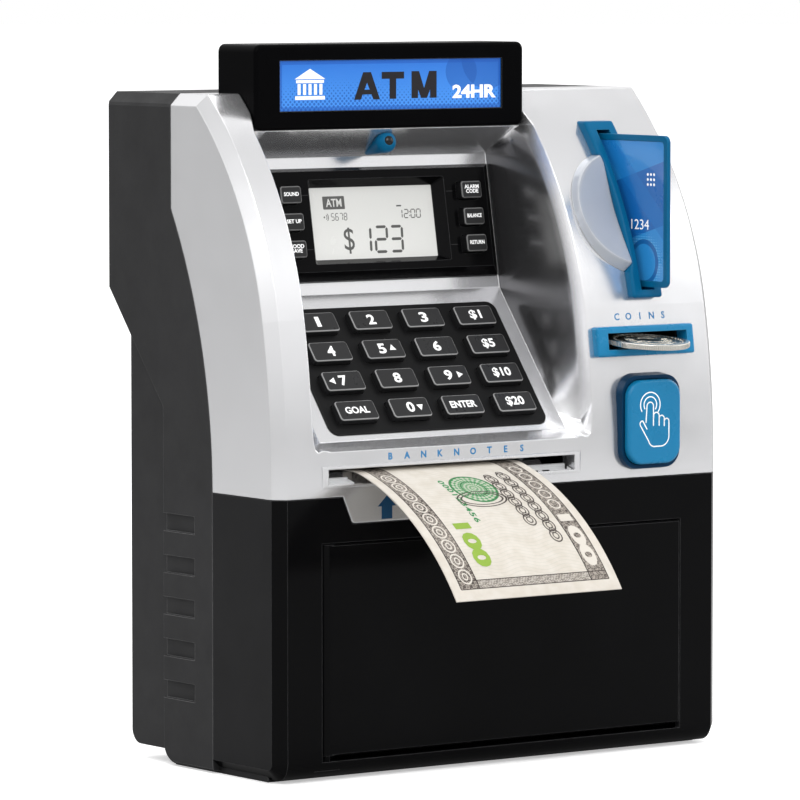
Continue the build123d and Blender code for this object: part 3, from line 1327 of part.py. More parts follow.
with BuildPart() as touch_button_base:
    with BuildSketch(FRONT.offset(-2)):
        with Locations((BUTTON_X, BUTTON_Z)):
            RectangleRounded(*BUTTON_BASE, 7.5)
    with BuildSketch(FRONT.offset(FRONT_Y - BUTTON_RIM_Y)):
        with Locations((BUTTON_X, BUTTON_Z)):
            RectangleRounded(*BUTTON_RIM, 6.2)
    loft(ruled=True)
    add(behind_front.part, mode=Mode.SUBTRACT)
    with BuildSketch(FRONT.offset(FRONT_Y - BUTTON_FLOOR_Y)):
        with Locations((BUTTON_X, BUTTON_Z)):
            RectangleRounded(*BUTTON_POCKET, 6.1)
    extrude(amount=10, mode=Mode.SUBTRACT)
    with BuildSketch(FRONT.offset(10)):
        with Locations((BUTTON_X, BUTTON_Z)):
            Circle(4.0)
    extrude(amount=-20, mode=Mode.SUBTRACT)
touch_button_base.part.label = "touch_button_base"
export_step(touch_button_base.part, "parts/touch_button_base.step")

with BuildPart() as touch_button:
    with BuildSketch(FRONT.offset(FRONT_Y - BUTTON_BACK_Y)):
        with Locations((BUTTON_X, BUTTON_Z)):
            RectangleRounded(*BUTTON, 6.0)
    extrude(amount=BUTTON_BACK_Y - BUTTON_FACE_Y)
    fillet(touch_button.faces().sort_by(Axis.Y)[0].edges(), 1.0)
    with BuildSketch(FRONT.offset(FRONT_Y - BUTTON_BACK_Y + 0.5)):
        with Locations((BUTTON_X, BUTTON_Z)):
            Circle(STEM_R)
    extrude(amount=BUTTON_BACK_Y - STEM_END_Y - 0.5)
touch_button.part.label = "touch_button"
export_step(touch_button.part, "parts/touch_button.step")

# ---------------------------------------------------------------- electronics and speaker
BOARD_Y = 30.0
BOARD_X, BOARD_Z = (-65.0, 55.0), (105.0, 195.0)
SPEAKER_R = 17.5

with BuildPart() as main_board:
    with BuildSketch(Plane.XZ.offset(-BOARD_Y)):
        with Locations((sum(BOARD_X) / 2, sum(BOARD_Z) / 2)):
            RectangleRounded(BOARD_X[1] - BOARD_X[0], BOARD_Z[1] - BOARD_Z[0], 2.0)
            with GridLocations(BOARD_X[1] - BOARD_X[0] - 8, BOARD_Z[1] - BOARD_Z[0] - 8, 2, 2):
                Circle(1.6, mode=Mode.SUBTRACT)
    extrude(amount=-BOARD_T)
    with BuildSketch(Plane.XZ.offset(-BOARD_Y)):
        with Locations((-20, 150), (15, 165)):
            Rectangle(16, 12)
    extrude(amount=2.0)
    with BuildSketch(Plane.XZ.offset(-BOARD_Y)):
        with Locations((-50, 120), (-42, 120), (40, 120)):
            Circle(3.0)
    extrude(amount=8.0)
    with BuildSketch(Plane.XZ.offset(-BOARD_Y)):
        with Locations((-50, 180), (-30, 180), (30, 182), (45, 182), (0, 112)):
            Rectangle(10, 5)
    extrude(amount=5.0)
main_board.part.label = "main_board"
export_step(main_board.part, "parts/main_board.step")

with BuildPart() as speaker:
    with BuildSketch(Plane.XZ.offset(-52.1)):
        with Locations((SPEAKER_X, SPEAKER_Z)):
            Circle(SPEAKER_R)
    extrude(amount=2.0)
    with BuildSketch(Plane.XZ.offset(-50.1)):
        with Locations((SPEAKER_X, SPEAKER_Z)):
            Circle(SPEAKER_R - 3)
    extrude(amount=1.6, taper=35)
    with BuildSketch(Plane.XZ.offset(-48.6)):
        with Locations((SPEAKER_X, SPEAKER_Z)):
            Circle(8.0)
    extrude(amount=3.5)
    with BuildSketch(Plane.XZ.offset(-52.1)):
        with Locations((SPEAKER_X, SPEAKER_Z)):
            Circle(SPEAKER_R - 2)
            Circle(5.0, mode=Mode.SUBTRACT)
    extrude(amount=1.0, mode=Mode.SUBTRACT)
speaker.part.label = "speaker"
export_step(speaker.part, "parts/speaker.step")
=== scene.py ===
"""Looks for the toy ATM savings bank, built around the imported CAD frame."""

from math import asin, cos, pi, radians, sin

import bmesh
import bpy
from mathutils import Matrix, Vector


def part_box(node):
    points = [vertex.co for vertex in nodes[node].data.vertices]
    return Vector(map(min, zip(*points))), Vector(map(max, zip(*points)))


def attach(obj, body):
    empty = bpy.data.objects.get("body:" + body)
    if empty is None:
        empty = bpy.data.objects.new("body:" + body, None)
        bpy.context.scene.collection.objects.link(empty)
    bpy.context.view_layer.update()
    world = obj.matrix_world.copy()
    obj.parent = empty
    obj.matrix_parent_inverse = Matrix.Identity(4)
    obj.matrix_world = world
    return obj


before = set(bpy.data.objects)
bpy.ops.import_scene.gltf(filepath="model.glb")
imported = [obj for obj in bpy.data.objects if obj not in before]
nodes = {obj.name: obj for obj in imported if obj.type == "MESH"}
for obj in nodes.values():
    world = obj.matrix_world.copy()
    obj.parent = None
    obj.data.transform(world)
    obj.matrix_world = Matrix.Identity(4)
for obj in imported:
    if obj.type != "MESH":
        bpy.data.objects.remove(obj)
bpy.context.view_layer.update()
MM = 0.001
PRINT = 0.04             # thickness of printed legends, mm
CLOUD, SMEAR, EDGE_HIGHLIGHT_NOISE = 38.0, 90.0, 160.0   # noise scales of colour, gloss and the painted edge highlights
BUMP_DEPTH = 0.05        # height of a full-strength surface grain, mm
COAT_ROUGH = 0.05


# ------------------------------------------------------------------ shader helpers
class Graph:
    """A small wrapper that adds and links shader nodes."""

    def __init__(self, tree):
        self.tree = tree
        tree.nodes.clear()

    def add(self, kind, inputs=None, **settings):
        node = self.tree.nodes.new(kind)
        for key, value in settings.items():
            setattr(node, key, value)
        for key, value in (inputs or {}).items():
            self.feed(node.inputs[key], value)
        return node

    def feed(self, socket, value):
        if isinstance(value, bpy.types.NodeSocket):
            self.tree.links.new(value, socket)
        elif socket.type == "VECTOR":
            socket.default_value = value[:3]
        else:
            socket.default_value = value

    def math(self, operation, a, b=0.0, clamp=False):
        node = self.add("ShaderNodeMath", operation=operation, use_clamp=clamp)
        self.feed(node.inputs[0], a)
        self.feed(node.inputs[1], b)
        return node.outputs[0]

    def spread(self, value, low, high, out_low=0.0, out_high=1.0):
        node = self.add("ShaderNodeMapRange", {"Value": value})
        node.inputs["From Min"].default_value = low
        node.inputs["From Max"].default_value = high
        node.inputs["To Min"].default_value = out_low
        node.inputs["To Max"].default_value = out_high
        return node.outputs[0]

    def mix(self, factor, a, b):
        node = self.add("ShaderNodeMix", data_type="RGBA")
        self.feed(node.inputs["Factor"], factor)
        self.feed(node.inputs["A"], a)
        self.feed(node.inputs["B"], b)
        return node.outputs["Result"]

    def axes(self, vector):
        return self.add("ShaderNodeSeparateXYZ", {"Vector": vector}).outputs

    def facing(self):
        return self.add("ShaderNodeNewGeometry").outputs["Normal"]

    def length(self, a, b):
        squares = self.math("ADD", self.math("MULTIPLY", a, a), self.math("MULTIPLY", b, b))
        return self.math("SQRT", squares)

    def within(self, value, low, high):
        """1 where value lies between low and high."""
        above = self.math("GREATER_THAN", value, low)
        return self.math("MULTIPLY", above, self.math("LESS_THAN", value, high))

    def near(self, value, target, reach):
        """1 where value is less than reach away from target."""
        away = self.math("ABSOLUTE", self.math("SUBTRACT", value, target))
        return self.math("LESS_THAN", away, reach)

    def in_cell(self, value, pitch):
        """Place in a repeating cell, from -0.5 to 0.5."""
        return self.math("SUBTRACT", self.math("FRACT", self.math("DIVIDE", value, pitch)), 0.5)

    def noise(self, scale, detail=3.0, rough=0.5):
        node = self.add("ShaderNodeTexNoise", {"Vector": self.place})
        node.inputs["Scale"].default_value = scale
        node.inputs["Detail"].default_value = detail
        node.inputs["Roughness"].default_value = rough
        return node.outputs["Fac"]


def rgb(r, g, b):
    """A linear colour from 0-255 display values."""
    out = []
    for v in (r, g, b):
        c = v / 255
        out.append(c / 12.92 if c <= 0.04045 else ((c + 0.055) / 1.055) ** 2.4)
    return (*out, 1.0)


def moulded(
    name,
    colour,
    rough=0.4,
    metallic=0.0,
    specular=0.5,
    coat=0.0,
    grain=0.0,
    grain_size=0.35,
    mottle=0.05,
    edge=0.0,
    edge_colour=(0.8, 0.8, 0.8, 1),
    edge_mm=0.5,
    painter=None,
    emission=0.0,
    transmission=0.0,
):
    """A moulded plastic, paint or metal: mottled colour, uneven gloss, surface grain and painted edge
    highlights.
    """
    material = bpy.data.materials.new(name)
    material.use_nodes = True
    g = Graph(material.node_tree)
    g.place = g.add("ShaderNodeTexCoord").outputs["Object"]
    out = g.add("ShaderNodeOutputMaterial")
    bsdf = g.add("ShaderNodeBsdfPrincipled")
    g.tree.links.new(bsdf.outputs[0], out.inputs[0])
    tint = painter(g) if painter else colour
    cloud = g.noise(CLOUD, 4.0)
    shade = g.spread(cloud, 0.3, 0.7, 1.0 - mottle, 1.0 + mottle)
    scale = g.add("ShaderNodeVectorMath", operation="SCALE")
    g.feed(scale.inputs[0], tint)
    g.feed(scale.inputs["Scale"], shade)
    tint = scale.outputs[0]
    normal = None
    if edge_mm:
        bevel = g.add("ShaderNodeBevel", samples=4)
        bevel.inputs["Radius"].default_value = edge_mm * MM
        normal = bevel.outputs[0]
    # Painted edge highlight: edge_colour is laid on where the bevel normal turns from the true normal,
    # broken up by noise.
    if edge:
        geometry = g.add("ShaderNodeNewGeometry")
        dot = g.add("ShaderNodeVectorMath", operation="DOT_PRODUCT")
        g.feed(dot.inputs[0], normal)
        g.feed(dot.inputs[1], geometry.outputs["True Normal"])
        rim = g.spread(dot.outputs["Value"], 0.985, 0.80, 0.0, edge)
        rim = g.math("MULTIPLY", rim, g.spread(g.noise(EDGE_HIGHLIGHT_NOISE), 0.25, 0.6, 0.55, 1.0), clamp=True)
        tint = g.mix(rim, tint, edge_colour)
    g.feed(bsdf.inputs["Base Color"], tint)
    smear = g.noise(SMEAR, 5.0, 0.6)
    g.feed(bsdf.inputs["Roughness"], g.spread(smear, 0.3, 0.7, rough * 0.85, rough * 1.15))
    if grain:
        bump = g.add("ShaderNodeBump")
        bump.inputs["Strength"].default_value = 1.0
        bump.inputs["Distance"].default_value = BUMP_DEPTH * MM
        g.feed(bump.inputs["Height"], g.math("MULTIPLY", g.noise(1 / (grain_size * MM), 2.0), grain))
        if normal:
            g.feed(bump.inputs["Normal"], normal)
        normal = bump.outputs[0]
    if normal:
        g.feed(bsdf.inputs["Normal"], normal)
    bsdf.inputs["Metallic"].default_value = metallic
    bsdf.inputs["Specular IOR Level"].default_value = specular
    bsdf.inputs["Coat Weight"].default_value = coat
    bsdf.inputs["Coat Roughness"].default_value = COAT_ROUGH
    bsdf.inputs["Transmission Weight"].default_value = transmission
    if emission:
        g.feed(bsdf.inputs["Emission Color"], tint)
        bsdf.inputs["Emission Strength"].default_value = emission
    return material


def wear(node, material):
    """Gives a CAD node one material in every slot."""
    mesh = nodes[node].data
    if not mesh.materials:
        mesh.materials.append(material)
    for i in range(len(mesh.materials)):
        mesh.materials[i] = material


# ------------------------------------------------------------------ mesh helpers
def placed(origin, x_dir, normal):
    """Matrix that puts local x, y on a surface at origin (mm), with local z along its normal."""
    x = Vector(x_dir).normalized()
    z = Vector(normal).normalized()
    y = z.cross(x)
    m = Matrix((x, y, z)).transposed().to_4x4()
    m.translation = Vector(origin) * MM
    return m @ Matrix.Scale(MM, 4)


def middle(corners):
    """Middle of a box, in mm."""
    low, high = corners
    return (Vector(low) + Vector(high)) / 2 / MM


def front_of(node):
    """Matrix of the middle of the front face of a node's box."""
    place = middle(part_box(node))
    place.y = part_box(node)[0][1] / MM
    return placed(place, (1, 0, 0), (0, -1, 0))


def piece(name, mesh, material, body):
    obj = bpy.data.objects.new(name, mesh)
    bpy.context.scene.collection.objects.link(obj)
    mesh.materials.clear()
    mesh.materials.append(material)
    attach(obj, body)


def join_shapes(shapes):
    """One mesh from several (vertices, faces) pairs."""
    vertices, faces = [], []
    for vs, fs in shapes:
        start = len(vertices)
        vertices += vs
        faces += [[start + i for i in f] for f in fs]
    return vertices, faces


def slab(loop, low=0.0, high=PRINT):
    """A flat prism over a 2-D outline."""
    n = len(loop)
    vertices = [(x, y, low) for x, y in loop] + [(x, y, high) for x, y in loop]
    faces = [list(range(n))[::-1], list(range(n, 2 * n))]
    faces += [[i, (i + 1) % n, n + (i + 1) % n, n + i] for i in range(n)]
    return vertices, faces


def around(x, y, r, a):
    """Point at the angle a, in radians, on a circle."""
    return x + r * cos(a), y + r * sin(a)


def arc(x, y, r, a0, a1, steps=10):
    """Points on an arc from a0 to a1 degrees."""
    return [around(x, y, r, radians(a0 + (a1 - a0) * i / steps)) for i in range(steps + 1)]


def box_loop(x0, y0, x1, y1, r=0.0):
    if not r:
        return [(x0, y0), (x1, y0), (x1, y1), (x0, y1)]
    corners = ((x1 - r, y0 + r, -90), (x1 - r, y1 - r, 0), (x0 + r, y1 - r, 90), (x0 + r, y0 + r, 180))
    return [point for x, y, a in corners for point in arc(x, y, r, a, a + 90, 5)]


def disc_loop(x, y, r, steps=28):
    return [around(x, y, r, 2 * pi * i / steps) for i in range(steps)]


def ring(x, y, outer, inner, low=0.0, high=PRINT, steps=40, start=0.0, sweep=360.0):
    """A flat ring or arc."""
    closed = sweep >= 360
    count = steps if closed else steps + 1
    vertices, faces = [], []
    for i in range(count):
        a = radians(start + sweep * i / steps)
        for r, z in ((outer, low), (outer, high), (inner, high), (inner, low)):
            vertices.append((x + r * cos(a), y + r * sin(a), z))
    for i in range(count if closed else count - 1):
        j = (i + 1) % count
        for k in range(4):
            m = (k + 1) % 4
            faces.append([4 * i + k, 4 * j + k, 4 * j + m, 4 * i + m])
    if not closed:
        faces += [[0, 1, 2, 3], [4 * count - 1, 4 * count - 2, 4 * count - 3, 4 * count - 4]]
    return vertices, faces


def stroke(points, width):
    """A line of constant width with rounded ends, as overlapping capsules."""
    shapes = []
    for a, b in zip(points, points[1:]):
        d = Vector(b) - Vector(a)
        if d.length < 1e-6:
            continue
        turn = d.angle_signed(Vector((1, 0)))
        loop = []
        for end, a0 in ((b, -90), (a, 90)):
            loop += [around(*end, width / 2, radians(a0 + 30 * i) + turn) for i in range(7)]
        shapes.append(slab(loop))
    return join_shapes(shapes)


def mesh_from(name, shapes, matrix):
    vertices, faces = join_shapes(shapes)
    mesh = bpy.data.meshes.new(name)
    mesh.from_pydata([matrix @ Vector(v) for v in vertices], [], faces)
    mesh.validate()
    bm = bmesh.new()
    bm.from_mesh(mesh)
    bmesh.ops.recalc_face_normals(bm, faces=bm.faces)
    bm.to_mesh(mesh)
    bm.free()
    return mesh


LINE_SPACING = 0.85
LONGEST_EDGE = 1.5       # edges of a bent legend are cut up above this length, mm


def lettering(
    name, words, matrix, material, body, bold=0.0, deep=0.0, bend=None, spacing=1.0,
):
    """Printed words as one mesh. words holds (text, x, y, height, width or None)."""
    joined = bmesh.new()
    for text, x, y, height, width in words:
        curve = bpy.data.curves.new("words", "FONT")
        curve.body = text
        curve.size = 1.0
        curve.align_x = "CENTER"
        curve.align_y = "CENTER"
        curve.space_character = spacing
        curve.space_line = LINE_SPACING
        curve.offset = bold
        curve.extrude = 0.5
        curve.resolution_u = 3
        holder = bpy.data.objects.new("words", curve)
        bpy.context.scene.collection.objects.link(holder)
        bpy.context.view_layer.update()
        shown = holder.evaluated_get(bpy.context.evaluated_depsgraph_get())
        mesh = bpy.data.meshes.new_from_object(shown)
        bpy.data.objects.remove(holder)
        xs = [v.co.x for v in mesh.vertices]
        ys = [v.co.y for v in mesh.vertices]
        size_y = max(ys) - min(ys)
        size_x = max(xs) - min(xs)
        ky = height / size_y
        kx = width / size_x if width else ky
        mx, my = (max(xs) + min(xs)) / 2, (max(ys) + min(ys)) / 2
        for v in mesh.vertices:
            z = PRINT if v.co.z > 0 else -deep
            v.co = (x + (v.co.x - mx) * kx, y + (v.co.y - my) * ky, z)
        joined.from_mesh(mesh)
    bmesh.ops.remove_doubles(joined, verts=joined.verts, dist=1e-4)
    if bend:
        bmesh.ops.triangulate(joined, faces=joined.faces)
        long = [e for e in joined.edges if e.calc_length() > LONGEST_EDGE]
        bmesh.ops.subdivide_edges(joined, edges=long, cuts=2)
    for v in joined.verts:
        v.co = bend(v.co) if bend else matrix @ v.co
    mesh = bpy.data.meshes.new(name)
    joined.to_mesh(mesh)
    joined.free()
    piece(name, mesh, material, body)


def printed(name, shapes, matrix, material, body):
    piece(name, mesh_from(name, shapes, matrix), material, body)


def face_point(node, normal):
    """Middle, in mm, of the node's outermost face along the normal."""
    points = [nodes[node].matrix_world @ v.co for v in nodes[node].data.vertices]
    far = max(p.dot(normal) for p in points)
    top = [p for p in points if p.dot(normal) > far - 0.01 * MM]
    low = Vector([min(p[i] for p in top) for i in range(3)])
    high = Vector([max(p[i] for p in top) for i in range(3)])
    return (low + high) / 2 / MM


# ------------------------------------------------------------------ colours
SILVER = rgb(238, 238, 240)
WHITE = rgb(240, 240, 240)
PURE_WHITE = (1, 1, 1, 1)

# Painted reflection: a darker silver for the dark keypad and display mirrored in the recess's right wall.
# Colour, and where it fades in over x, out over x and in over z; painters work in metres.
PAINTED_RECESS_REFLECTION = (rgb(118, 118, 120), (0.022, 0.026), (0.0366, 0.0346), (0.112, 0.135))


def silver_with_painted_reflection(g):
    """Silver with a painted dark reflection on the right wall of the recess."""
    reflection_tint, x_in, x_out, z_in = PAINTED_RECESS_REFLECTION
    x, _, z = g.axes(g.place)
    turned = g.spread(g.axes(g.facing())["X"], -0.55, -0.9)
    inside = g.math("MULTIPLY", g.spread(x, *x_in), g.spread(x, *x_out))
    inside = g.math("MULTIPLY", inside, g.spread(z, *z_in))
    return g.mix(g.math("MULTIPLY", turned, inside), SILVER, reflection_tint)


silver_paint = moulded(
    "silver_paint", SILVER, rough=0.2, metallic=0.86, mottle=0.01, painter=silver_with_painted_reflection,
    edge=0.5, edge_colour=PURE_WHITE, edge_mm=0.6,
)


def painted_left_sheen(g):
    """Gloss black with a painted sheen: a little greyer on the faces towards the left."""
    left = g.spread(g.axes(g.facing())["X"], -0.75, -0.95)
    return g.mix(left, rgb(9, 9, 10), rgb(34, 34, 35))


black_gloss = moulded(
    "black_gloss", WHITE, rough=0.14, specular=0.06, grain=0.01, mottle=0.12,
    painter=painted_left_sheen, edge=0.5, edge_colour=rgb(120, 120, 122), edge_mm=0.35,
)
sign_black = moulded(
    "sign_black", rgb(6, 6, 7), rough=0.3, specular=0.02, grain=0.01, mottle=0.12,
    edge=0.6, edge_colour=rgb(130, 130, 132), edge_mm=0.35,
)
black_matte = moulded(
    "black_matte", rgb(42, 42, 43), rough=0.55, specular=0.2, grain=0.6, grain_size=0.45, mottle=0.08,
    edge=0.7, edge_colour=rgb(150, 150, 151), edge_mm=0.4,
)


def rim_highlight_painter(tilt, face, rim):
    """Face colour with a painted highlight: a pale line along the rounded edge of a key top that leans back
    by tilt.
    """
    def paint(g):
        dot = g.add("ShaderNodeVectorMath", operation="DOT_PRODUCT")
        g.feed(dot.inputs[0], g.facing())
        g.feed(dot.inputs[1], (0, -cos(tilt), sin(tilt)))
        up = dot.outputs["Value"]
        band = g.math("MULTIPLY", g.spread(up, 0.25, 0.5), g.spread(up, 0.985, 0.9))
        return g.mix(band, face, rim)
    return paint


KEY_TILT, DISPLAY_TILT = radians(38.8), radians(10.2)
key_look = {"rough": 0.3, "specular": 0.3, "grain": 0.08, "grain_size": 0.25, "mottle": 0.06, "edge_mm": 0}
# The pale rim colours are painted highlights along the keys' rounded edges.
key_paint = rim_highlight_painter(KEY_TILT, rgb(36, 36, 37), rgb(150, 150, 150))
soft_key_paint = rim_highlight_painter(DISPLAY_TILT, rgb(26, 26, 27), rgb(110, 110, 110))
key_grey = moulded("key_grey", WHITE, painter=key_paint, **key_look)
soft_key_grey = moulded("soft_key_grey", WHITE, painter=soft_key_paint, **key_look)
panel_black = moulded(
    "panel_black", rgb(12, 12, 13), rough=0.45, specular=0.15, grain=0.2, grain_size=0.3, mottle=0.1,
    edge=0.3, edge_colour=rgb(96, 96, 96), edge_mm=0.4,
)
blue_plastic = moulded(
    "blue_plastic", rgb(20, 124, 172), rough=0.28, specular=0.3, grain=0.08, mottle=0.05,
    edge=0.5, edge_colour=rgb(120, 190, 225), edge_mm=0.45,
)
deep_blue_plastic = moulded(
    "deep_blue_plastic", rgb(4, 94, 136), rough=0.34, specular=0.1, grain=0.08, mottle=0.06,
    edge=0.45, edge_colour=rgb(60, 150, 195), edge_mm=0.45,
)
navy_plastic = moulded(
    "navy_plastic", rgb(0, 48, 78), rough=0.35, specular=0.12, grain=0.1, mottle=0.08,
    edge=0.3, edge_colour=rgb(20, 104, 146), edge_mm=0.4,
)
halo_plastic = moulded(
    "halo_plastic", rgb(190, 195, 204), rough=0.16, specular=0.6, coat=0.5, mottle=0.06,
    edge=0.95, edge_colour=PURE_WHITE, edge_mm=0.8, transmission=0.2,
)


def ink(name, colour, rough=0.5, specular=0.3, grain=0.2, mottle=0.06, **more):
    """A thin print, with no painted edge highlights."""
    return moulded(
        name, colour, rough=rough, specular=specular, grain=grain, mottle=mottle, edge_mm=0, **more
    )


# White print with a faint glow: painted light that keeps it bright in any shade.
white_ink = ink("white_ink", WHITE, mottle=0.04, emission=0.25)
blue_ink = ink("blue_ink", rgb(44, 122, 176))
navy_ink = ink("navy_ink", rgb(8, 66, 102), rough=0.45)
black_ink = ink("black_ink", rgb(34, 32, 36), rough=0.4, specular=0.2)
segment_ink = ink("segment_ink", rgb(88, 88, 86), rough=0.3, specular=0.4, grain=0.1)
green_ink = ink("green_ink", rgb(138, 168, 66), rough=0.6, specular=0.2, grain=0, mottle=0.15)
seal_ink = ink("seal_ink", rgb(52, 132, 78), rough=0.6, specular=0.2, grain=0, mottle=0.15)
grey_ink = ink("grey_ink", rgb(74, 66, 62), rough=0.6, specular=0.2, grain=0, mottle=0.15)
rubber = moulded(
    "soft_rubber", rgb(38, 38, 40), rough=0.75, specular=0.2, grain=0.7, grain_size=0.5, edge_mm=0.3,
)
steel = moulded(
    "zinc_steel", rgb(176, 178, 182), rough=0.3, metallic=1.0, grain=0.3, mottle=0.08, edge_mm=0.2,
)
coin_metal = moulded(
    "coin_metal", rgb(214, 212, 204), rough=0.24, metallic=1.0, grain=0.5, grain_size=0.6, mottle=0.1,
    edge=0.5, edge_colour=PURE_WHITE, edge_mm=0.25,
)
nylon = moulded("nylon_gear", rgb(226, 224, 214), rough=0.5, specular=0.4, grain=0.2, edge_mm=0.2)
board_green = moulded("solder_mask", rgb(18, 92, 48), rough=0.35, grain=0.3, mottle=0.2, edge_mm=0.2)
inner_grey = moulded("inner_grey", rgb(120, 121, 124), rough=0.5, specular=0.3, grain=0.3, edge_mm=0.3)
# Light grey with a faint glow: painted light on the slot ledges, which sit in the slot's shade.
glowing_ledge_grey = moulded(
    "glowing_ledge_grey", rgb(190, 191, 192), specular=0.4, mottle=0.1, edge_mm=0.2, emission=0.25,
)
cell_wrap = moulded("cell_wrap", rgb(70, 72, 78), rough=0.3, coat=0.3, mottle=0.1, edge_mm=0.3)
lens_black = moulded(
    "lens_black", rgb(4, 4, 6), rough=0.12, specular=0.35, coat=0.15, mottle=0.1, edge_mm=0,
)


def lcd_painter(g):
    """Pale grey display with a faint cell pattern, a little darker towards its top."""
    cells = g.add("ShaderNodeTexVoronoi", {"Vector": g.place})
    cells.inputs["Scale"].default_value = 2600.0
    fine = g.spread(cells.outputs["Distance"], 0.0, 0.6)
    fade = g.spread(g.axes(g.place)["Z"], 0.168, 0.191)
    base = g.mix(fade, rgb(206, 206, 203), rgb(190, 190, 187))
    return g.mix(g.math("MULTIPLY", fine, 0.06), base, rgb(160, 162, 160))


lcd_face = moulded(
    "lcd_face", WHITE, rough=0.25, specular=0.35, coat=0.2, mottle=0.01, edge_mm=0,
    painter=lcd_painter, emission=0.36,
)

SIGN_HALF_HEIGHT = 0.0083          # of the lit print
SIGN_BORDER = (0.0444, 0.0070)     # the darker border starts this far from the middle, across and up
SIGN_DISCS = ((0.029, 0.004, 0.0065), (0.040, 0.009, 0.011))   # across, up, radius
DOT_PITCH = 0.00175


def sign_painter(g):
    """Blue back-lit print: darker border, halftone dots that shrink upwards, and two overlapping discs."""
    x, _, z = g.axes(g.place)
    mid = middle(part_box("sign_panel")) * MM
    u = g.math("SUBTRACT", x, mid.x)
    v = g.math("SUBTRACT", z, mid.z)
    base = g.mix(g.spread(v, -SIGN_HALF_HEIGHT, SIGN_HALF_HEIGHT), rgb(64, 134, 214), rgb(38, 104, 190))
    fa = g.in_cell(g.math("ADD", u, v), DOT_PITCH)
    fb = g.in_cell(g.math("SUBTRACT", u, v), DOT_PITCH)
    swell = g.math("MULTIPLY", g.math("SINE", g.math("MULTIPLY", u, 75.0)), 0.0015)
    reach = g.spread(g.math("ADD", v, swell), -0.0068, 0.0026, 0.40, 0.02)
    dot = g.spread(g.math("SUBTRACT", reach, g.length(fa, fb)), 0.0, 0.05)
    base = g.mix(g.math("MULTIPLY", dot, 0.8), base, rgb(22, 80, 160))
    for across, rise, radius in SIGN_DISCS:
        r = g.length(g.math("SUBTRACT", u, across), g.math("SUBTRACT", v, rise))
        inside = g.within(r, 0.0, radius)
        base = g.mix(g.math("MULTIPLY", inside, 0.45), base, rgb(14, 66, 140))
    beside = g.math("GREATER_THAN", g.math("ABSOLUTE", u), SIGN_BORDER[0])
    beyond = g.math("GREATER_THAN", g.math("ABSOLUTE", v), SIGN_BORDER[1])
    border = g.math("MAXIMUM", beside, beyond)
    return g.mix(g.math("MULTIPLY", border, 0.55), base, rgb(16, 74, 160))


sign_print = moulded(
    "sign_print", WHITE, rough=0.3, specular=0.3, coat=0.1, mottle=0.02, edge_mm=0,
    painter=sign_painter, emission=0.35,
)

CARD_Z = (0.157, 0.208)            # the ground colour changes between these heights
CARD_RING = (-0.0405, 0.1655)      # middle of the ring, y and z
CARD_RING_R = (0.0062, 0.0078)
CARD_DOTS_R = 0.0112               # the halftone fades out this far from the ring's middle
CARD_DOT_PITCH = 0.0009


def card_painter(g):
    """Printed card insert: two darker blue bands, and a ring with halftone dots around it."""
    _, y, z = g.axes(g.place)
    base = g.mix(g.spread(z, *CARD_Z), rgb(46, 138, 204), rgb(30, 128, 200))
    slope = g.math("ADD", z, g.math("MULTIPLY", y, 0.28))
    band = g.within(slope, 0.1640, 0.1855)
    base = g.mix(g.math("MULTIPLY", band, 0.85), base, rgb(16, 92, 168))
    slope = g.math("SUBTRACT", z, g.math("MULTIPLY", y, 0.9))
    band = g.within(slope, 0.219, 0.228)
    base = g.mix(g.math("MULTIPLY", band, 0.6), base, rgb(24, 112, 186))
    r = g.length(g.math("SUBTRACT", y, CARD_RING[0]), g.math("SUBTRACT", z, CARD_RING[1]))
    base = g.mix(g.math("MULTIPLY", g.within(r, *CARD_RING_R), 0.8), base, rgb(14, 82, 148))
    far = g.length(g.in_cell(y, CARD_DOT_PITCH), g.in_cell(z, CARD_DOT_PITCH))
    reach = g.spread(r, CARD_RING_R[1], CARD_DOTS_R, 0.38, 0.0)
    dot = g.spread(g.math("SUBTRACT", reach, far), 0.0, 0.06)
    dot = g.math("MULTIPLY", g.math("GREATER_THAN", r, CARD_RING_R[1]), dot)
    return g.mix(g.math("MULTIPLY", dot, 0.6), base, rgb(120, 190, 232))


# The card print glows faintly: painted light.
card_print = moulded(
    "card_print", WHITE, rough=0.3, specular=0.4, coat=0.3, mottle=0.02, edge_mm=0,
    painter=card_painter, emission=0.05,
)


# ------------------------------------------------------------------ CAD nodes
CAD_LOOKS = (
    (silver_paint, ("upper_fascia", "note_slot_guide")),
    (black_gloss, ("front_base_shell", "vault_door", "lcd_bezel")),
    (sign_black, ("sign_housing",)),
    (black_matte, ("rear_shell", "base_plate", "battery_door", "speaker", "lcd_module")),
    (key_grey, [node for node in nodes if node.startswith("key_")]),
    (soft_key_grey, [node for node in nodes if node.startswith("soft_key_")]),
    (panel_black, ("keypad_bezel", "coin_chute")),
    (blue_plastic, ("coin_slot_bezel", "touch_button")),
    (deep_blue_plastic, ("card_slot_bezel", "bank_card", "camera_hood")),
    (navy_plastic, ("touch_button_base",)),
    (halo_plastic, ("card_halo",)),
    (sign_print, ("sign_panel",)),
    (lcd_face, ("lcd_window",)),
    (rubber, ("rubber_feet", "feed_roller", "pinch_roller", "keypad_mat")),
    (steel, ("housing_screws", "latch_bolt", "latch_solenoid", "battery_contacts", "feed_motor")),
    (coin_metal, ("coin",)),
    (nylon, ("motor_pinion",)),
    (board_green, ("keypad_board", "main_board")),
    (inner_grey, ("card_reader",)),
    (cell_wrap, ("batteries",)),
)
for material, dressed in CAD_LOOKS:
    for node in dressed:
        wear(node, material)

# ------------------------------------------------------------------ sign
sign_at = front_of("sign_panel")
STEM = 2.7               # stroke width of the sign's capitals, mm


def mirrored(loop, x, thick=PRINT):
    """The loop and its mirror image, both moved to x; the image is thicker, so the tops never coincide."""
    return [
        slab([(x + px, py) for px, py in loop], 0.0, thick),
        slab([(x - px, py) for px, py in loop[::-1]], 0.0, thick + 0.004),
    ]


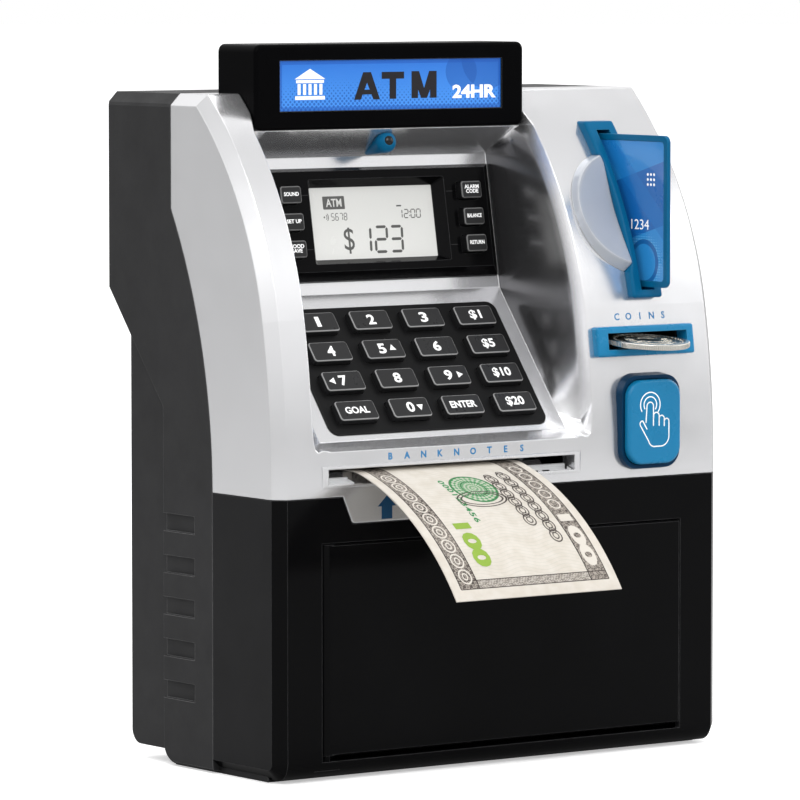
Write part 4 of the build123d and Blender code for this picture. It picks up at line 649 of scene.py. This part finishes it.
capitals = mirrored([(-5.3, -4.9), (-5.3 + STEM, -4.9), (1.6, 4.2), (-1.6, 4.2)], -10.0)
capitals.append(slab(box_loop(-12.4, -3.2, -7.6, -1.6), 0.0, PRINT - 0.006))
capitals += [slab(box_loop(-4.0, 4.2 - 2.3, 5.2, 4.2))]
capitals += [slab(box_loop(0.6 - STEM / 2, -4.8, 0.6 + STEM / 2, 1.9))]
capitals += mirrored([(-5.2, -4.7), (-5.2 + STEM, -4.7), (-5.2 + STEM, 4.3), (-5.2, 4.3)], 13.5)
diagonal = [(-5.2, 4.3), (-5.2 + STEM + 0.4, 4.3), (1.2, -4.7), (-1.2, -4.7)]
capitals += mirrored(diagonal, 13.5, PRINT + 0.01)
printed("sign_letters", capitals, sign_at, black_ink, "housing")
hours = [("24HR", 34.4, -2.7, 4.5, 18.2)]
lettering("sign_hours", hours, sign_at, white_ink, "housing", bold=0.04)
columns = [slab(box_loop(-38.2 + 2.2 * i, -3.0, -37.0 + 2.2 * i, 0.6)) for i in range(5)]
temple = columns + [
    slab(box_loop(-39.2, -4.6, -27.2, -3.4)),
    slab(box_loop(-38.8, 0.9, -27.6, 1.9)),
    slab([(-39.4, 2.2), (-27.0, 2.2), (-33.2, 5.6)]),
]
printed("sign_building", temple, sign_at, white_ink, "housing")

# Back cover of the sign box: a plate with two ribs, and two screws inside raised rings.
COVER_INSET, COVER_BACK = 2.6, 1.3
low, high = [Vector(corner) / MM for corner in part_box("sign_housing")]
cover_mid = (low + high) / 2
cover_mid.y = high.y - COVER_BACK
cover_at = placed(cover_mid, (-1, 0, 0), (0, 1, 0))
half_x, half_z = (high.x - low.x) / 2 - COVER_INSET, (high.z - low.z) / 2 - COVER_INSET
cover = [slab(box_loop(-half_x, -half_z, half_x, half_z, 0.8), 0.0, 0.7)]
for z in (-half_z / 3, half_z / 3):
    cover.append(slab(box_loop(-half_x * 0.8, z - 0.5, half_x * 0.8, z + 0.5, 0.4), 0.7, 1.0))
for x in (-half_x + 4.0, half_x - 4.0):
    cover.append(ring(x, 0.0, 2.6, 1.7, 0.7, 1.05))
    cover.append(slab(disc_loop(x, 0.0, 1.6), 0.7, 0.85))
printed("sign_back_cover", cover, cover_at, black_matte, "housing")

# ------------------------------------------------------------------ display
display_n = Vector((0, -cos(DISPLAY_TILT), sin(DISPLAY_TILT)))
window = middle(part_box("lcd_window")) + display_n * 0.5
lcd_at = placed(window, (1, 0, 0), display_n)

SEGMENTS = {
    "0": "abcdef", "1": "bc", "2": "abged", "3": "abgcd",
    "5": "afgcd", "6": "afgedc", "7": "abc", "8": "abcdefg",
}
SLANT = 0.05


def digit(char, x, y, w, h, t):
    """Seven-segment digit with its lower left corner at x, y, and bars t thick."""
    gap = t * 0.22
    bars = {
        "a": ((0, h), (w, h)), "b": ((w, h), (w, h / 2)), "c": ((w, h / 2), (w, 0)),
        "d": ((0, 0), (w, 0)), "e": ((0, h / 2), (0, 0)), "f": ((0, h), (0, h / 2)),
        "g": ((0, h / 2), (w, h / 2)),
    }
    shapes = []
    for key in SEGMENTS[char]:
        p, q = Vector(bars[key][0]), Vector(bars[key][1])
        d = (q - p).normalized()
        side = Vector((-d.y, d.x)) * t / 2
        p, q = p + d * gap, q - d * gap
        cap = d * t / 2
        loop = [p, p + cap + side, q - cap + side, q, q - cap - side, p + cap - side]
        shapes.append(slab([(x + v.x + v.y * SLANT, y + v.y) for v in loop]))
    return shapes


figures = []
for char, x in (("1", -6.9), ("2", -0.1), ("3", 6.2)):
    figures += digit(char, x, -10.0, 4.7, 8.4, 0.95)
for char, x in (("1", 10.4), ("2", 12.9), ("0", 15.7), ("0", 18.0)):
    figures += digit(char, x, 1.2, 1.6, 2.8, 0.34)
figures += [slab(disc_loop(15.15, 1.9, 0.2, 8)), slab(disc_loop(15.2, 3.2, 0.2, 8))]
figures += [slab(box_loop(10.0, 5.1, 12.0, 5.6))]
for i, char in enumerate("5678"):
    figures += digit(char, -17.2 + 1.75 * i, 1.1, 1.1, 2.3, 0.24)
figures.append(slab(disc_loop(-20.0, 2.2, 0.32, 10)))
for r in (1.2, 1.8):
    figures.append(ring(-20.0, 2.2, r, r - 0.25, sweep=90, start=-45, steps=8))
printed("lcd_digits", figures, lcd_at, segment_ink, "housing")
dollar = [("$", -10.8, -5.9, 8.8, 4.2)]
lettering("lcd_dollar", dollar, lcd_at, segment_ink, "housing")
tag = [slab(box_loop(-20.1, 4.8, -11.2, 9.2, 0.3))]
printed("lcd_tag", tag, lcd_at, segment_ink, "housing")
tag_at = lcd_at @ Matrix.Translation((0, 0, PRINT))
tag_text = [("ATM", -15.65, 7.0, 2.7, 6.4)]
lettering("lcd_tag_text", tag_text, tag_at, lcd_face, "housing", bold=0.02)

BEZEL_RISE = 3.85                  # the bezel's face in front of the display print, mm
bezel_at = placed(window + display_n * BEZEL_RISE, (1, 0, 0), display_n)
leaders = []
for y in (9.3, -8.9):
    for x0, x1 in ((-32.6, -28.4), (28.4, 32.6)):
        leaders.append(slab(box_loop(x0, y - 0.12, x1, y + 0.12), 0, 0.03))
printed("lcd_leader_lines", leaders, bezel_at, lens_black, "housing")

SOFT_LABELS = {
    "soft_key_left_1": "SOUND", "soft_key_left_2": "SET UP", "soft_key_left_3": "GOOD\nSAVE",
    "soft_key_right_1": "ALARM\nCODE", "soft_key_right_2": "BALANCE", "soft_key_right_3": "RETURN",
}
for node, text in SOFT_LABELS.items():
    at = placed(face_point(node, display_n), (1, 0, 0), display_n)
    words = [(text, 0, 0.2, 2.9 if "\n" in text else 1.35, 6.0)]
    lettering(f"{node}_label", words, at, white_ink, node, bold=0.03)

# ------------------------------------------------------------------ keypad legends
key_n = Vector((0, -cos(KEY_TILT), sin(KEY_TILT)))
KEY_TEXT = {
    **{f"key_{number}": number for number in "1234567890"},
    **{f"key_add_{amount}": f"${amount}" for amount in (1, 5, 10, 20)},
    "key_goal": "GOAL", "key_enter": "ENTER",
}
TEXT_WIDTH = {"GOAL": 9.6, "ENTER": 10.6, "$1": 4.9, "$5": 5.1, "$10": 7.4, "$20": 7.4, "1": 1.7}
ARROWS = {
    "key_5": (3.4, 90), "key_7": (-4.5, 180), "key_9": (3.9, 0), "key_0": (3.9, -90),
}                        # place across the key, mm, and turn in degrees
for node, text in KEY_TEXT.items():
    at = placed(face_point(node, key_n), (1, 0, 0), key_n)
    tall = 2.7 if text in ("GOAL", "ENTER") else 4.0
    shift = {"key_5": -0.9, "key_9": -0.6, "key_7": -0.3}.get(node, 0.0)
    words = [(text, shift, 0, tall, TEXT_WIDTH.get(text, 3.1))]
    lettering(f"{node}_legend", words, at, white_ink, node, bold=0.03)
    if node in ARROWS:
        x, turn = ARROWS[node]
        tip = [around(x, 0.0, 1.5, radians(turn + 120 * i)) for i in range(3)]
        printed(f"{node}_arrow", [slab(tip)], at, white_ink, node)

# ------------------------------------------------------------------ words on the fascia
FRONT_Y = -44.5
ARC_Z, ARC_R = 97.0, 300.0


def on_front(x, z):
    """Matrix of the tangent plane on the fascia's lower arc at height z."""
    lean = asin((z - ARC_Z) / ARC_R)
    y = FRONT_Y + ARC_R * (1 - cos(lean))
    return placed((x, y, z), (1, 0, 0), (0, -cos(lean), sin(lean)))


def spaced(text, x0, x1, y, height):
    step = (x1 - x0) / (len(text) - 1)
    return [(c, x0 + i * step, y, height, None) for i, c in enumerate(text)]


def caption(name, words, at, bold):
    """A blue caption sunk 0.1 mm into the curved fascia."""
    lettering(name, words, at, blue_ink, "housing", bold=bold, deep=0.1)


caption("word_banknotes", spaced("BANKNOTES", -27.0, 27.0, 0, 2.3), on_front(-20.0, 105.5), 0.03)
caption("word_coins", spaced("COINS", -9.9, 9.9, 0, 2.4), on_front(60.1, 147.4), 0.02)
tab_at = placed((-48.5, FRONT_Y, 88.8), (1, 0, 0), (0, -1, 0))
arrow = [(-2.15, -3.8), (2.15, -3.8), (2.15, 0.4), (3.7, 0.4), (0, 3.9), (-3.7, 0.4), (-2.15, 0.4)]
printed("tab_arrow", [slab(arrow)], tab_at, navy_ink, "housing")

# ------------------------------------------------------------------ camera lens
LENS_WAY = Vector((-0.2, -0.96, 0.2)).normalized()
NOSE_CENTRE = Vector((middle(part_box("camera_hood")).x, -4.9, 206.7))
SOCKET_FLOOR = 2.92                # distance of the lens socket's floor from the middle of the nose, mm
LENS_RINGS = ((1.55, 0.0), (1.5, 0.3), (1.15, 0.58), (0.6, 0.76), (0.05, 0.82))   # radius, height
STEPS = 24
lens_at = placed(NOSE_CENTRE + LENS_WAY * SOCKET_FLOOR, (1, -0.21, 0), LENS_WAY)
vertices, faces = [], []
for r, z in LENS_RINGS:
    vertices += [(*point, z) for point in disc_loop(0, 0, r, STEPS)]
for k in range(len(LENS_RINGS) - 1):
    for i in range(STEPS):
        j = (i + 1) % STEPS
        faces.append([k * STEPS + i, k * STEPS + j, (k + 1) * STEPS + j, (k + 1) * STEPS + i])
faces += [list(range(STEPS))[::-1], [4 * STEPS + i for i in range(STEPS)]]
printed("camera_lens", [(vertices, faces)], lens_at, lens_black, "housing")

# ------------------------------------------------------------------ touch symbol on the button
button_at = front_of("touch_button")
GROW, LINE = 1.12, 0.42


def grown(points):
    return [((x - 1.0) * GROW, (y + 1.2) * GROW) for x, y in points]


hand = (
    [(-2.6, -1.2)] + arc(-1.0, 3.6, 1.25, 180, 0) + [(0.25, -0.2)] + arc(1.35, 0.6, 1.1, 150, 0, 6)
    + [(2.45, -0.6)] + arc(3.4, -0.3, 1.0, 150, 0, 6) + [(4.4, -1.2)] + arc(5.3, -1.2, 0.9, 150, 0, 6)
    + [(6.2, -5.2)] + arc(3.2, -5.6, 3.0, 0, -90, 6) + [(0.2, -8.6)] + arc(0.6, -6.4, 2.2, -100, -165, 4)
    + [(-4.4, -2.6)] + arc(-4.0, -1.6, 0.9, 215, 80, 5) + [(-2.25, -3.2)]
)
knuckles = [[(0.25, -0.2), (0.25, -2.2)], [(2.45, -0.6), (2.45, -2.3)], [(4.4, -1.2), (4.4, -2.5)]]
lines = [stroke(grown(points), LINE) for points in (hand, *knuckles)]
for r in (2.9, 4.4):
    lines.append(ring(-2.2, 5.9, r, r - 0.4, sweep=250, start=-38, steps=30))
printed("touch_symbol", lines, button_at, white_ink, "touch_button")

# ------------------------------------------------------------------ card print
FACE_INSET = 0.2                   # the printed inserts lie this far under the card's raised rim, mm
low, high = [Vector(corner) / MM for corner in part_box("bank_card")]
for side, x, way in (("right", high.x - FACE_INSET, 1), ("left", low.x + FACE_INSET, -1)):
    at = placed((x, (low.y + high.y) / 2, (low.z + high.z) / 2), (0, way, 0), (way, 0, 0))
    insert = [slab(box_loop(-37.9, -23.5, 37.9, 23.5, 1.4))]
    printed(f"card_insert_{side}", insert, at, card_print, "bank_card")
    lifted = at @ Matrix.Translation((0, 0, PRINT))
    words = [("1234", 25.2 * -way, -4.6, 3.4, 9.6), ("5678", 11.0 * -way, -4.6, 3.4, 9.6)]
    lettering(f"card_number_{side}", words, lifted, white_ink, "bank_card")
    chip = [slab(box_loop(-30, 6.0, -19, 14.0, 1.2))]
    chip += [slab(box_loop(-30, y, -19, y + 0.3), PRINT, 2 * PRINT) for y in (8.6, 11.2)]
    printed(f"card_chip_{side}", chip, lifted, coin_metal, "bank_card")
    if side == "left":
        grid = [(31.0 + 1.7 * i, 9.0 + 1.7 * k) for i in range(-1, 2) for k in range(3)]
        dots = [slab(disc_loop(x, y, 0.5, 12)) for x, y in grid]
        printed("card_dots", dots, lifted, white_ink, "bank_card")

# ------------------------------------------------------------------ play note print
NOTE_Z, BEND_Y, BACK_Y = 100.9, -39.3, 18.0
NEAR_R, FAR_R, NEAR_TURN, FAR_TURN = 20.0, 95.0, radians(15), radians(55)
NEAR_LENGTH = NEAR_R * NEAR_TURN
FAR_LENGTH = FAR_R * (FAR_TURN - NEAR_TURN)
FLAT_LENGTH = BACK_Y - BEND_Y
NOTE_LENGTH = FLAT_LENGTH + NEAR_LENGTH + FAR_LENGTH


def note_place(along, lift):
    """Y, Z of the point that lies along from the note's free end, lifted off its middle."""
    s = NOTE_LENGTH - along
    if s <= FLAT_LENGTH:
        return BACK_Y - s, NOTE_Z + lift
    s -= FLAT_LENGTH
    near = (BEND_Y, NOTE_Z - NEAR_R)
    if s <= NEAR_LENGTH:
        a = s / NEAR_R
        return near[0] - (NEAR_R + lift) * sin(a), near[1] + (NEAR_R + lift) * cos(a)
    a = NEAR_TURN + (s - NEAR_LENGTH) / FAR_R
    far = (near[0] + (FAR_R - NEAR_R) * sin(NEAR_TURN), near[1] - (FAR_R - NEAR_R) * cos(NEAR_TURN))
    return far[0] - (FAR_R + lift) * sin(a), far[1] + (FAR_R + lift) * cos(a)


NOTE_WIDTH = 67.0
LEFT_BAND, RIGHT_BAND, END_BAND = (3.6, 11.0), (56.4, 63.6), (4.2, 7.4)
PAPER, BAND_LINE = rgb(212, 206, 197), rgb(60, 52, 50)
SEAL = (35.0, 50.0, 8.2)           # across, along, radius


def note_painter(g):
    """Generic play-money print: cream paper, woven borders, a green rosette and fine wave lines."""
    u, v, _ = g.axes(g.add("ShaderNodeUVMap").outputs[0])   # mm across, and mm from the free end

    def wave(value, pitch, bend, bend_pitch, depth):
        sway = g.math("MULTIPLY", g.math("SINE", g.math("MULTIPLY", bend, bend_pitch)), depth)
        return g.math("SINE", g.math("ADD", g.math("MULTIPLY", value, pitch), sway))

    paper = g.mix(g.spread(g.noise(260.0, 5.0), 0.35, 0.65), PAPER, rgb(204, 197, 186))
    lace = g.math("MULTIPLY", wave(u, 7.0, v, 2.4, 3.0), wave(v, 7.0, u, 2.4, 3.0))
    tone = g.mix(g.spread(lace, -0.35, 0.35), rgb(176, 168, 158), rgb(58, 50, 48))
    above = g.math("GREATER_THAN", v, END_BAND[0])
    sides = g.math("MAXIMUM", g.within(u, *LEFT_BAND), g.within(u, *RIGHT_BAND))
    paper = g.mix(g.math("MULTIPLY", sides, above), paper, tone)
    between = g.within(u, LEFT_BAND[1], RIGHT_BAND[0])
    fringe = g.math("MULTIPLY", g.within(v, *END_BAND), between)
    weave = g.math("MULTIPLY", wave(u, 5.5, v, 2.0, 2.0), wave(v, 5.5, u, 4.0, 1.5))
    weave = g.spread(g.math("GREATER_THAN", weave, 0.0), 0, 1, 0.25, 0.75)
    paper = g.mix(g.math("MULTIPLY", fringe, weave), paper, rgb(84, 76, 72))
    for d in (*LEFT_BAND, *RIGHT_BAND):
        line = g.math("MULTIPLY", g.near(u, d, 0.18), above)
        paper = g.mix(line, paper, BAND_LINE)
    for d in END_BAND:
        line = g.math("MULTIPLY", g.near(v, d, 0.16), g.within(u, LEFT_BAND[0], RIGHT_BAND[1]))
        paper = g.mix(line, paper, BAND_LINE)
    du, dv = g.math("SUBTRACT", u, SEAL[0]), g.math("SUBTRACT", v, SEAL[1])
    r = g.length(du, dv)
    turn = g.math("ARCTAN2", dv, du)
    petals = []
    for way in ("ADD", "SUBTRACT"):
        curl = g.math(way, g.math("MULTIPLY", turn, 12.0), g.math("MULTIPLY", r, 2.4))
        petals.append(g.math("SINE", curl))
    inner = g.spread(g.math("MULTIPLY", *petals), -0.4, 0.4, 0.2, 0.9)
    inner = g.math("MULTIPLY", g.math("LESS_THAN", r, SEAL[2]), inner)
    paper = g.mix(inner, paper, rgb(46, 140, 78))
    for radius, width in ((SEAL[2], 0.4), (SEAL[2] * 0.55, 0.3)):
        paper = g.mix(g.math("MULTIPLY", g.near(r, radius, width), 0.9), paper, rgb(34, 116, 62))
    field = g.math("MULTIPLY", between, g.math("GREATER_THAN", v, END_BAND[1]))
    ripple = g.math("GREATER_THAN", wave(v, 4.4, u, 0.35, 4.0), 0.86)
    ripple = g.math("MULTIPLY", g.math("MULTIPLY", ripple, field), 0.12)
    return g.mix(ripple, paper, rgb(110, 140, 120))


note_print = moulded(
    "note_print", WHITE, rough=0.75, specular=0.15, mottle=0.02, edge_mm=0, painter=note_painter,
)
note_paper = ink("note_paper", PAPER, rough=0.8, specular=0.15, grain=0.4, mottle=0.03, grain_size=0.6)
wear("play_note", note_paper)
NOTE_X0, NOTE_X1 = [corner[0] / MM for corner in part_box("play_note")]
NOTE_HALF, PRINT_INSET, ROWS = 0.15, 0.05, 90   # half the thickness and the margin are in mm
for side, lift in (("top", NOTE_HALF + PRINT), ("under", -NOTE_HALF - PRINT)):
    bm = bmesh.new()
    uv = bm.loops.layers.uv.new("UVMap")
    grid = []
    for i in range(ROWS + 1):
        along = PRINT_INSET + (NOTE_LENGTH - 2 * PRINT_INSET) * i / ROWS
        y, z = note_place(along, lift)
        sides = (NOTE_X0 + PRINT_INSET, NOTE_X1 - PRINT_INSET)
        grid.append((along, [bm.verts.new((x * MM, y * MM, z * MM)) for x in sides]))
    for (a0, p), (a1, q) in zip(grid, grid[1:]):
        corners = (p[0], p[1], q[1], q[0]) if side == "under" else (p[1], p[0], q[0], q[1])
        where = {p[0]: (0, a0), p[1]: (NOTE_WIDTH, a0), q[0]: (0, a1), q[1]: (NOTE_WIDTH, a1)}
        face = bm.faces.new(corners)
        face.smooth = True
        for loop in face.loops:
            loop[uv].uv = where[loop.vert]
    bmesh.ops.recalc_face_normals(bm, faces=bm.faces)
    mesh = bpy.data.meshes.new(f"note_print_{side}")
    bm.to_mesh(mesh)
    bm.free()
    piece(f"note_print_{side}", mesh, note_print, "play_note")


def on_note(v):
    """Bends a printed legend, laid out in mm from the free left corner, onto the note's upper face."""
    y, z = note_place(v[1], NOTE_HALF + 2 * PRINT + v[2] * 0.5)
    return Vector(((NOTE_X0 + v[0]) * MM, y * MM, z * MM))


def along_note(v):
    """The same for legends that read towards the free end: x is minus the distance from it, y is across."""
    return on_note((v[1], -v[0], v[2]))


def note_legend(name, words, material, bold, spacing=1.0):
    lettering(
        name, words, None, material, "play_note",
        bold=bold, bend=along_note, spacing=spacing,
    )


def note_marks(name, shapes, material):
    """Flat ornaments bent onto the note, drawn in mm across and along it."""
    vertices, faces = join_shapes(shapes)
    mesh = bpy.data.meshes.new(name)
    mesh.from_pydata([on_note(v) for v in vertices], [], faces)
    piece(name, mesh, material, "play_note")


def oval(x, y, rx, ry, width):
    vertices, faces = ring(0, 0, 1.0, 1.0 - width / min(rx, ry), steps=28)
    return [(x + vx * rx, y + vy * ry, vz) for vx, vy, vz in vertices], faces


note_legend("note_value", [("100", -22.0, 17.6, 6.6, 19.5)], green_ink, 0.05)
note_legend("note_serial", [("000123456", -44.0, 25.2, 2.2, 25.0)], seal_ink, 0.02, spacing=1.1)
note_legend("note_corner", [("100", -21.0, 60.0, 5.4, 23.0)], note_paper, 0.05)
chain = []
for i in range(9):
    chain += [oval(7.3, 9.0 + 6.4 * i, 2.5, 3.0, 0.5), oval(7.3, 9.0 + 6.4 * i, 1.1, 1.5, 0.4)]
for i in range(5):
    chain.append(oval(60.0, 38.0 + 5.8 * i, 2.3, 2.6, 0.5))
note_marks("note_chain", chain, note_paper)
scrolls = []
for x, low, count in ((45.6, 31.0, 6), (51.6, 23.0, 8)):
    for i in range(count):
        y = low + 4.8 * i
        scrolls += [oval(x, y, 2.3, 2.9, 0.42), oval(x, y, 1.2, 1.6, 0.36)]
        scrolls.append(oval(x, y + 2.4, 1.5, 1.2, 0.3))
for half_long, half_wide, width in ((10.0, 4.6, 0.35), (8.6, 3.4, 0.3)):
    scrolls.append(oval(SEAL[0] - 1.0, SEAL[1] - 6.5, half_long, half_wide, width))
note_marks("note_scrolls", scrolls, grey_ink)

# ------------------------------------------------------------------ coin relief and milled edge
COIN_TILT = radians(5.0)
coin_n = Vector((0, -sin(COIN_TILT), cos(COIN_TILT)))
coin_mid = middle(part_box("coin"))
BEADS, SPIKES, REEDS = 44, 16, 120
REED_R, REED_TIP, REED_HALF = 13.98, 14.16, 0.012   # foot and tip radius, and half width in radians
for side, way in (("upper", 1), ("lower", -1)):
    at = placed(coin_mid + coin_n * way * 0.7, (way, 0, 0), coin_n * way)
    relief = [slab(disc_loop(x, y, 0.32, 8), 0, 0.18) for x, y in disc_loop(0, 0, 11.6, BEADS)]
    relief += [ring(0, 0, 9.3, 8.8, 0, 0.15), ring(0, 0, 4.6, 4.2, 0, 0.16)]
    for i in range(SPIKES):
        a = 2 * pi * i / SPIKES
        loop = [around(0, 0, 5.2, a - 0.09), around(0, 0, 5.2, a + 0.09), around(0, 0, 8.2, a)]
        relief.append(slab(loop, 0, 0.2))
    printed(f"coin_relief_{side}", relief, at, coin_metal, "coin")
reeds = []
for i in range(REEDS):
    a = 2 * pi * i / REEDS
    foot = [around(0, 0, REED_R, a + d) for d in (-REED_HALF, REED_HALF)]
    reeds.append(slab([foot[0], around(0, 0, REED_TIP, a), foot[1]], -0.72, 0.72))
rim_at = placed(coin_mid, (1, 0, 0), coin_n)
printed("coin_milling", reeds, rim_at, coin_metal, "coin")

# ------------------------------------------------------------------ small details
sensor_at = placed((0, -43.4, 97.2), (1, 0, 0), (0, 0, 1))
sensors = [slab(box_loop(x, -0.9, x + 2.6, 2.2, 0.3), 0, 0.35) for x in (11.5, 16.2)]
printed("slot_sensors", sensors, sensor_at, panel_black, "housing")
# The slot ledges glow a little: painted light in the shaded slot mouth.
ledge_lean = Vector((0, -0.30, 0.95)).normalized()
ledge_at = placed((0, -42.2, 97.75), (1, 0, 0), ledge_lean)
ledges = []
for x0, x1 in ((-71.4, -61.0), (9.0, 28.4)):
    ledges.append(slab(box_loop(x0, -1.6, x1, 1.8, 0.3), -0.1, 0.1))
    ledges.append(slab(box_loop(x0 + 0.6, 1.0, x1 - 1.0, 1.9, 0.3), 0.1, 0.9))
printed("slot_ledges", ledges, ledge_at, glowing_ledge_grey, "housing")
seam_at = placed((0, -43.6, 99.7), (1, 0, 0), (0, -1, 0))
seam = [slab(box_loop(25.6, -2.2, 26.3, 2.2), 0, 0.3)]
printed("slot_seam", seam, seam_at, panel_black, "housing")

# ------------------------------------------------------------------ studio
FLOOR_HALF, FLOOR_GLOW = 30, 0.45
floor_mesh = bpy.data.meshes.new("floor")
corners = [(x, y, 0) for x, y in box_loop(-FLOOR_HALF, -FLOOR_HALF, FLOOR_HALF, FLOOR_HALF)]
floor_mesh.from_pydata(corners, [], [(0, 1, 2, 3)])
floor = bpy.data.objects.new("floor", floor_mesh)
bpy.context.scene.collection.objects.link(floor)


def floor_painter(g):
    """White to the camera, and a little greyer in reflections."""
    seen = g.add("ShaderNodeLightPath").outputs["Is Camera Ray"]
    return g.mix(seen, rgb(196, 196, 196), PURE_WHITE)


floor_paper = moulded(
    "floor_paper", WHITE, rough=0.9, specular=0.05, mottle=0.004, edge_mm=0, painter=floor_painter,
)
floor_tree = floor_paper.node_tree
shader = next(n for n in floor_tree.nodes if n.type == "BSDF_PRINCIPLED")
glow = floor_tree.nodes.new("ShaderNodeMath")
glow.operation = "MULTIPLY"
glow.inputs[1].default_value = FLOOR_GLOW
seen = floor_tree.nodes.new("ShaderNodeLightPath").outputs["Is Camera Ray"]
floor_tree.links.new(seen, glow.inputs[0])
floor_tree.links.new(glow.outputs[0], shader.inputs["Emission Strength"])
shader.inputs["Emission Color"].default_value = PURE_WHITE
floor_mesh.materials.append(floor_paper)


def softbox(name, place, aim, size, power):
    light = bpy.data.lights.new(name, "AREA")
    light.shape = "RECTANGLE"
    light.size, light.size_y = size
    light.energy = power
    obj = bpy.data.objects.new(name, light)
    obj.location = place
    obj.rotation_euler = (Vector(aim) - Vector(place)).to_track_quat("-Z", "Y").to_euler()
    bpy.context.scene.collection.objects.link(obj)


softbox("key_light", (-0.9, -1.3, 1.5), (0, 0, 0.1), (1.2, 1.2), 16)
softbox("top_light", (0.1, 0.2, 1.6), (0, 0, 0.1), (1.6, 1.2), 12)
softbox("right_light", (1.5, -0.7, 0.6), (0, 0, 0.12), (0.9, 1.2), 7)

# The room is brightest between the horizon and the top; the camera sees plain white.
DIM, BRIGHT, OVERHEAD, ROOM_STRENGTH = 0.6, 1.3, 0.62, 0.85
world = bpy.data.worlds.new("studio")
bpy.context.scene.world = world
world.use_nodes = True
g = Graph(world.node_tree)
out = g.add("ShaderNodeOutputWorld")
seen = g.add("ShaderNodeLightPath").outputs["Is Camera Ray"]
rise = g.axes(g.add("ShaderNodeTexCoord").outputs["Generated"])["Z"]
lower, upper = g.spread(rise, -0.05, 0.35, DIM, BRIGHT), g.spread(rise, 0.45, 0.95, BRIGHT, OVERHEAD)
climb = g.math("MINIMUM", lower, upper)
lit = g.add("ShaderNodeCombineXYZ", {"X": climb, "Y": climb, "Z": climb})
room = g.add("ShaderNodeBackground", {"Color": lit.outputs[0], "Strength": ROOM_STRENGTH})
backdrop = g.add("ShaderNodeBackground", {"Color": PURE_WHITE, "Strength": 1.0})
blend = g.add("ShaderNodeMixShader")
g.feed(blend.inputs[0], seen)
g.feed(blend.inputs[1], room.outputs[0])
g.feed(blend.inputs[2], backdrop.outputs[0])
g.feed(out.inputs[0], blend.outputs[0])
bpy.context.scene.view_settings.view_transform = "Standard"
bpy.context.scene.view_settings.look = "None"

LENS_MM, FILM_MM = 268.3, 36.0
CAMERA_PLACE = Vector((-1.1881, -1.6197, 0.2729))
AHEAD = Vector((0.58621, 0.80655, -0.07637))
camera = bpy.data.objects.new("camera", bpy.data.cameras.new("camera"))
camera.data.lens = LENS_MM
camera.data.sensor_width = FILM_MM
camera.data.clip_end = 20
right = Vector((0.80891, -0.58793, 0.0)).normalized()
up = right.cross(AHEAD).normalized()
turned = Matrix((right, up, -AHEAD)).transposed().to_4x4()
camera.matrix_world = Matrix.Translation(CAMERA_PLACE) @ turned
bpy.context.scene.collection.objects.link(camera)
bpy.context.scene.camera = camera
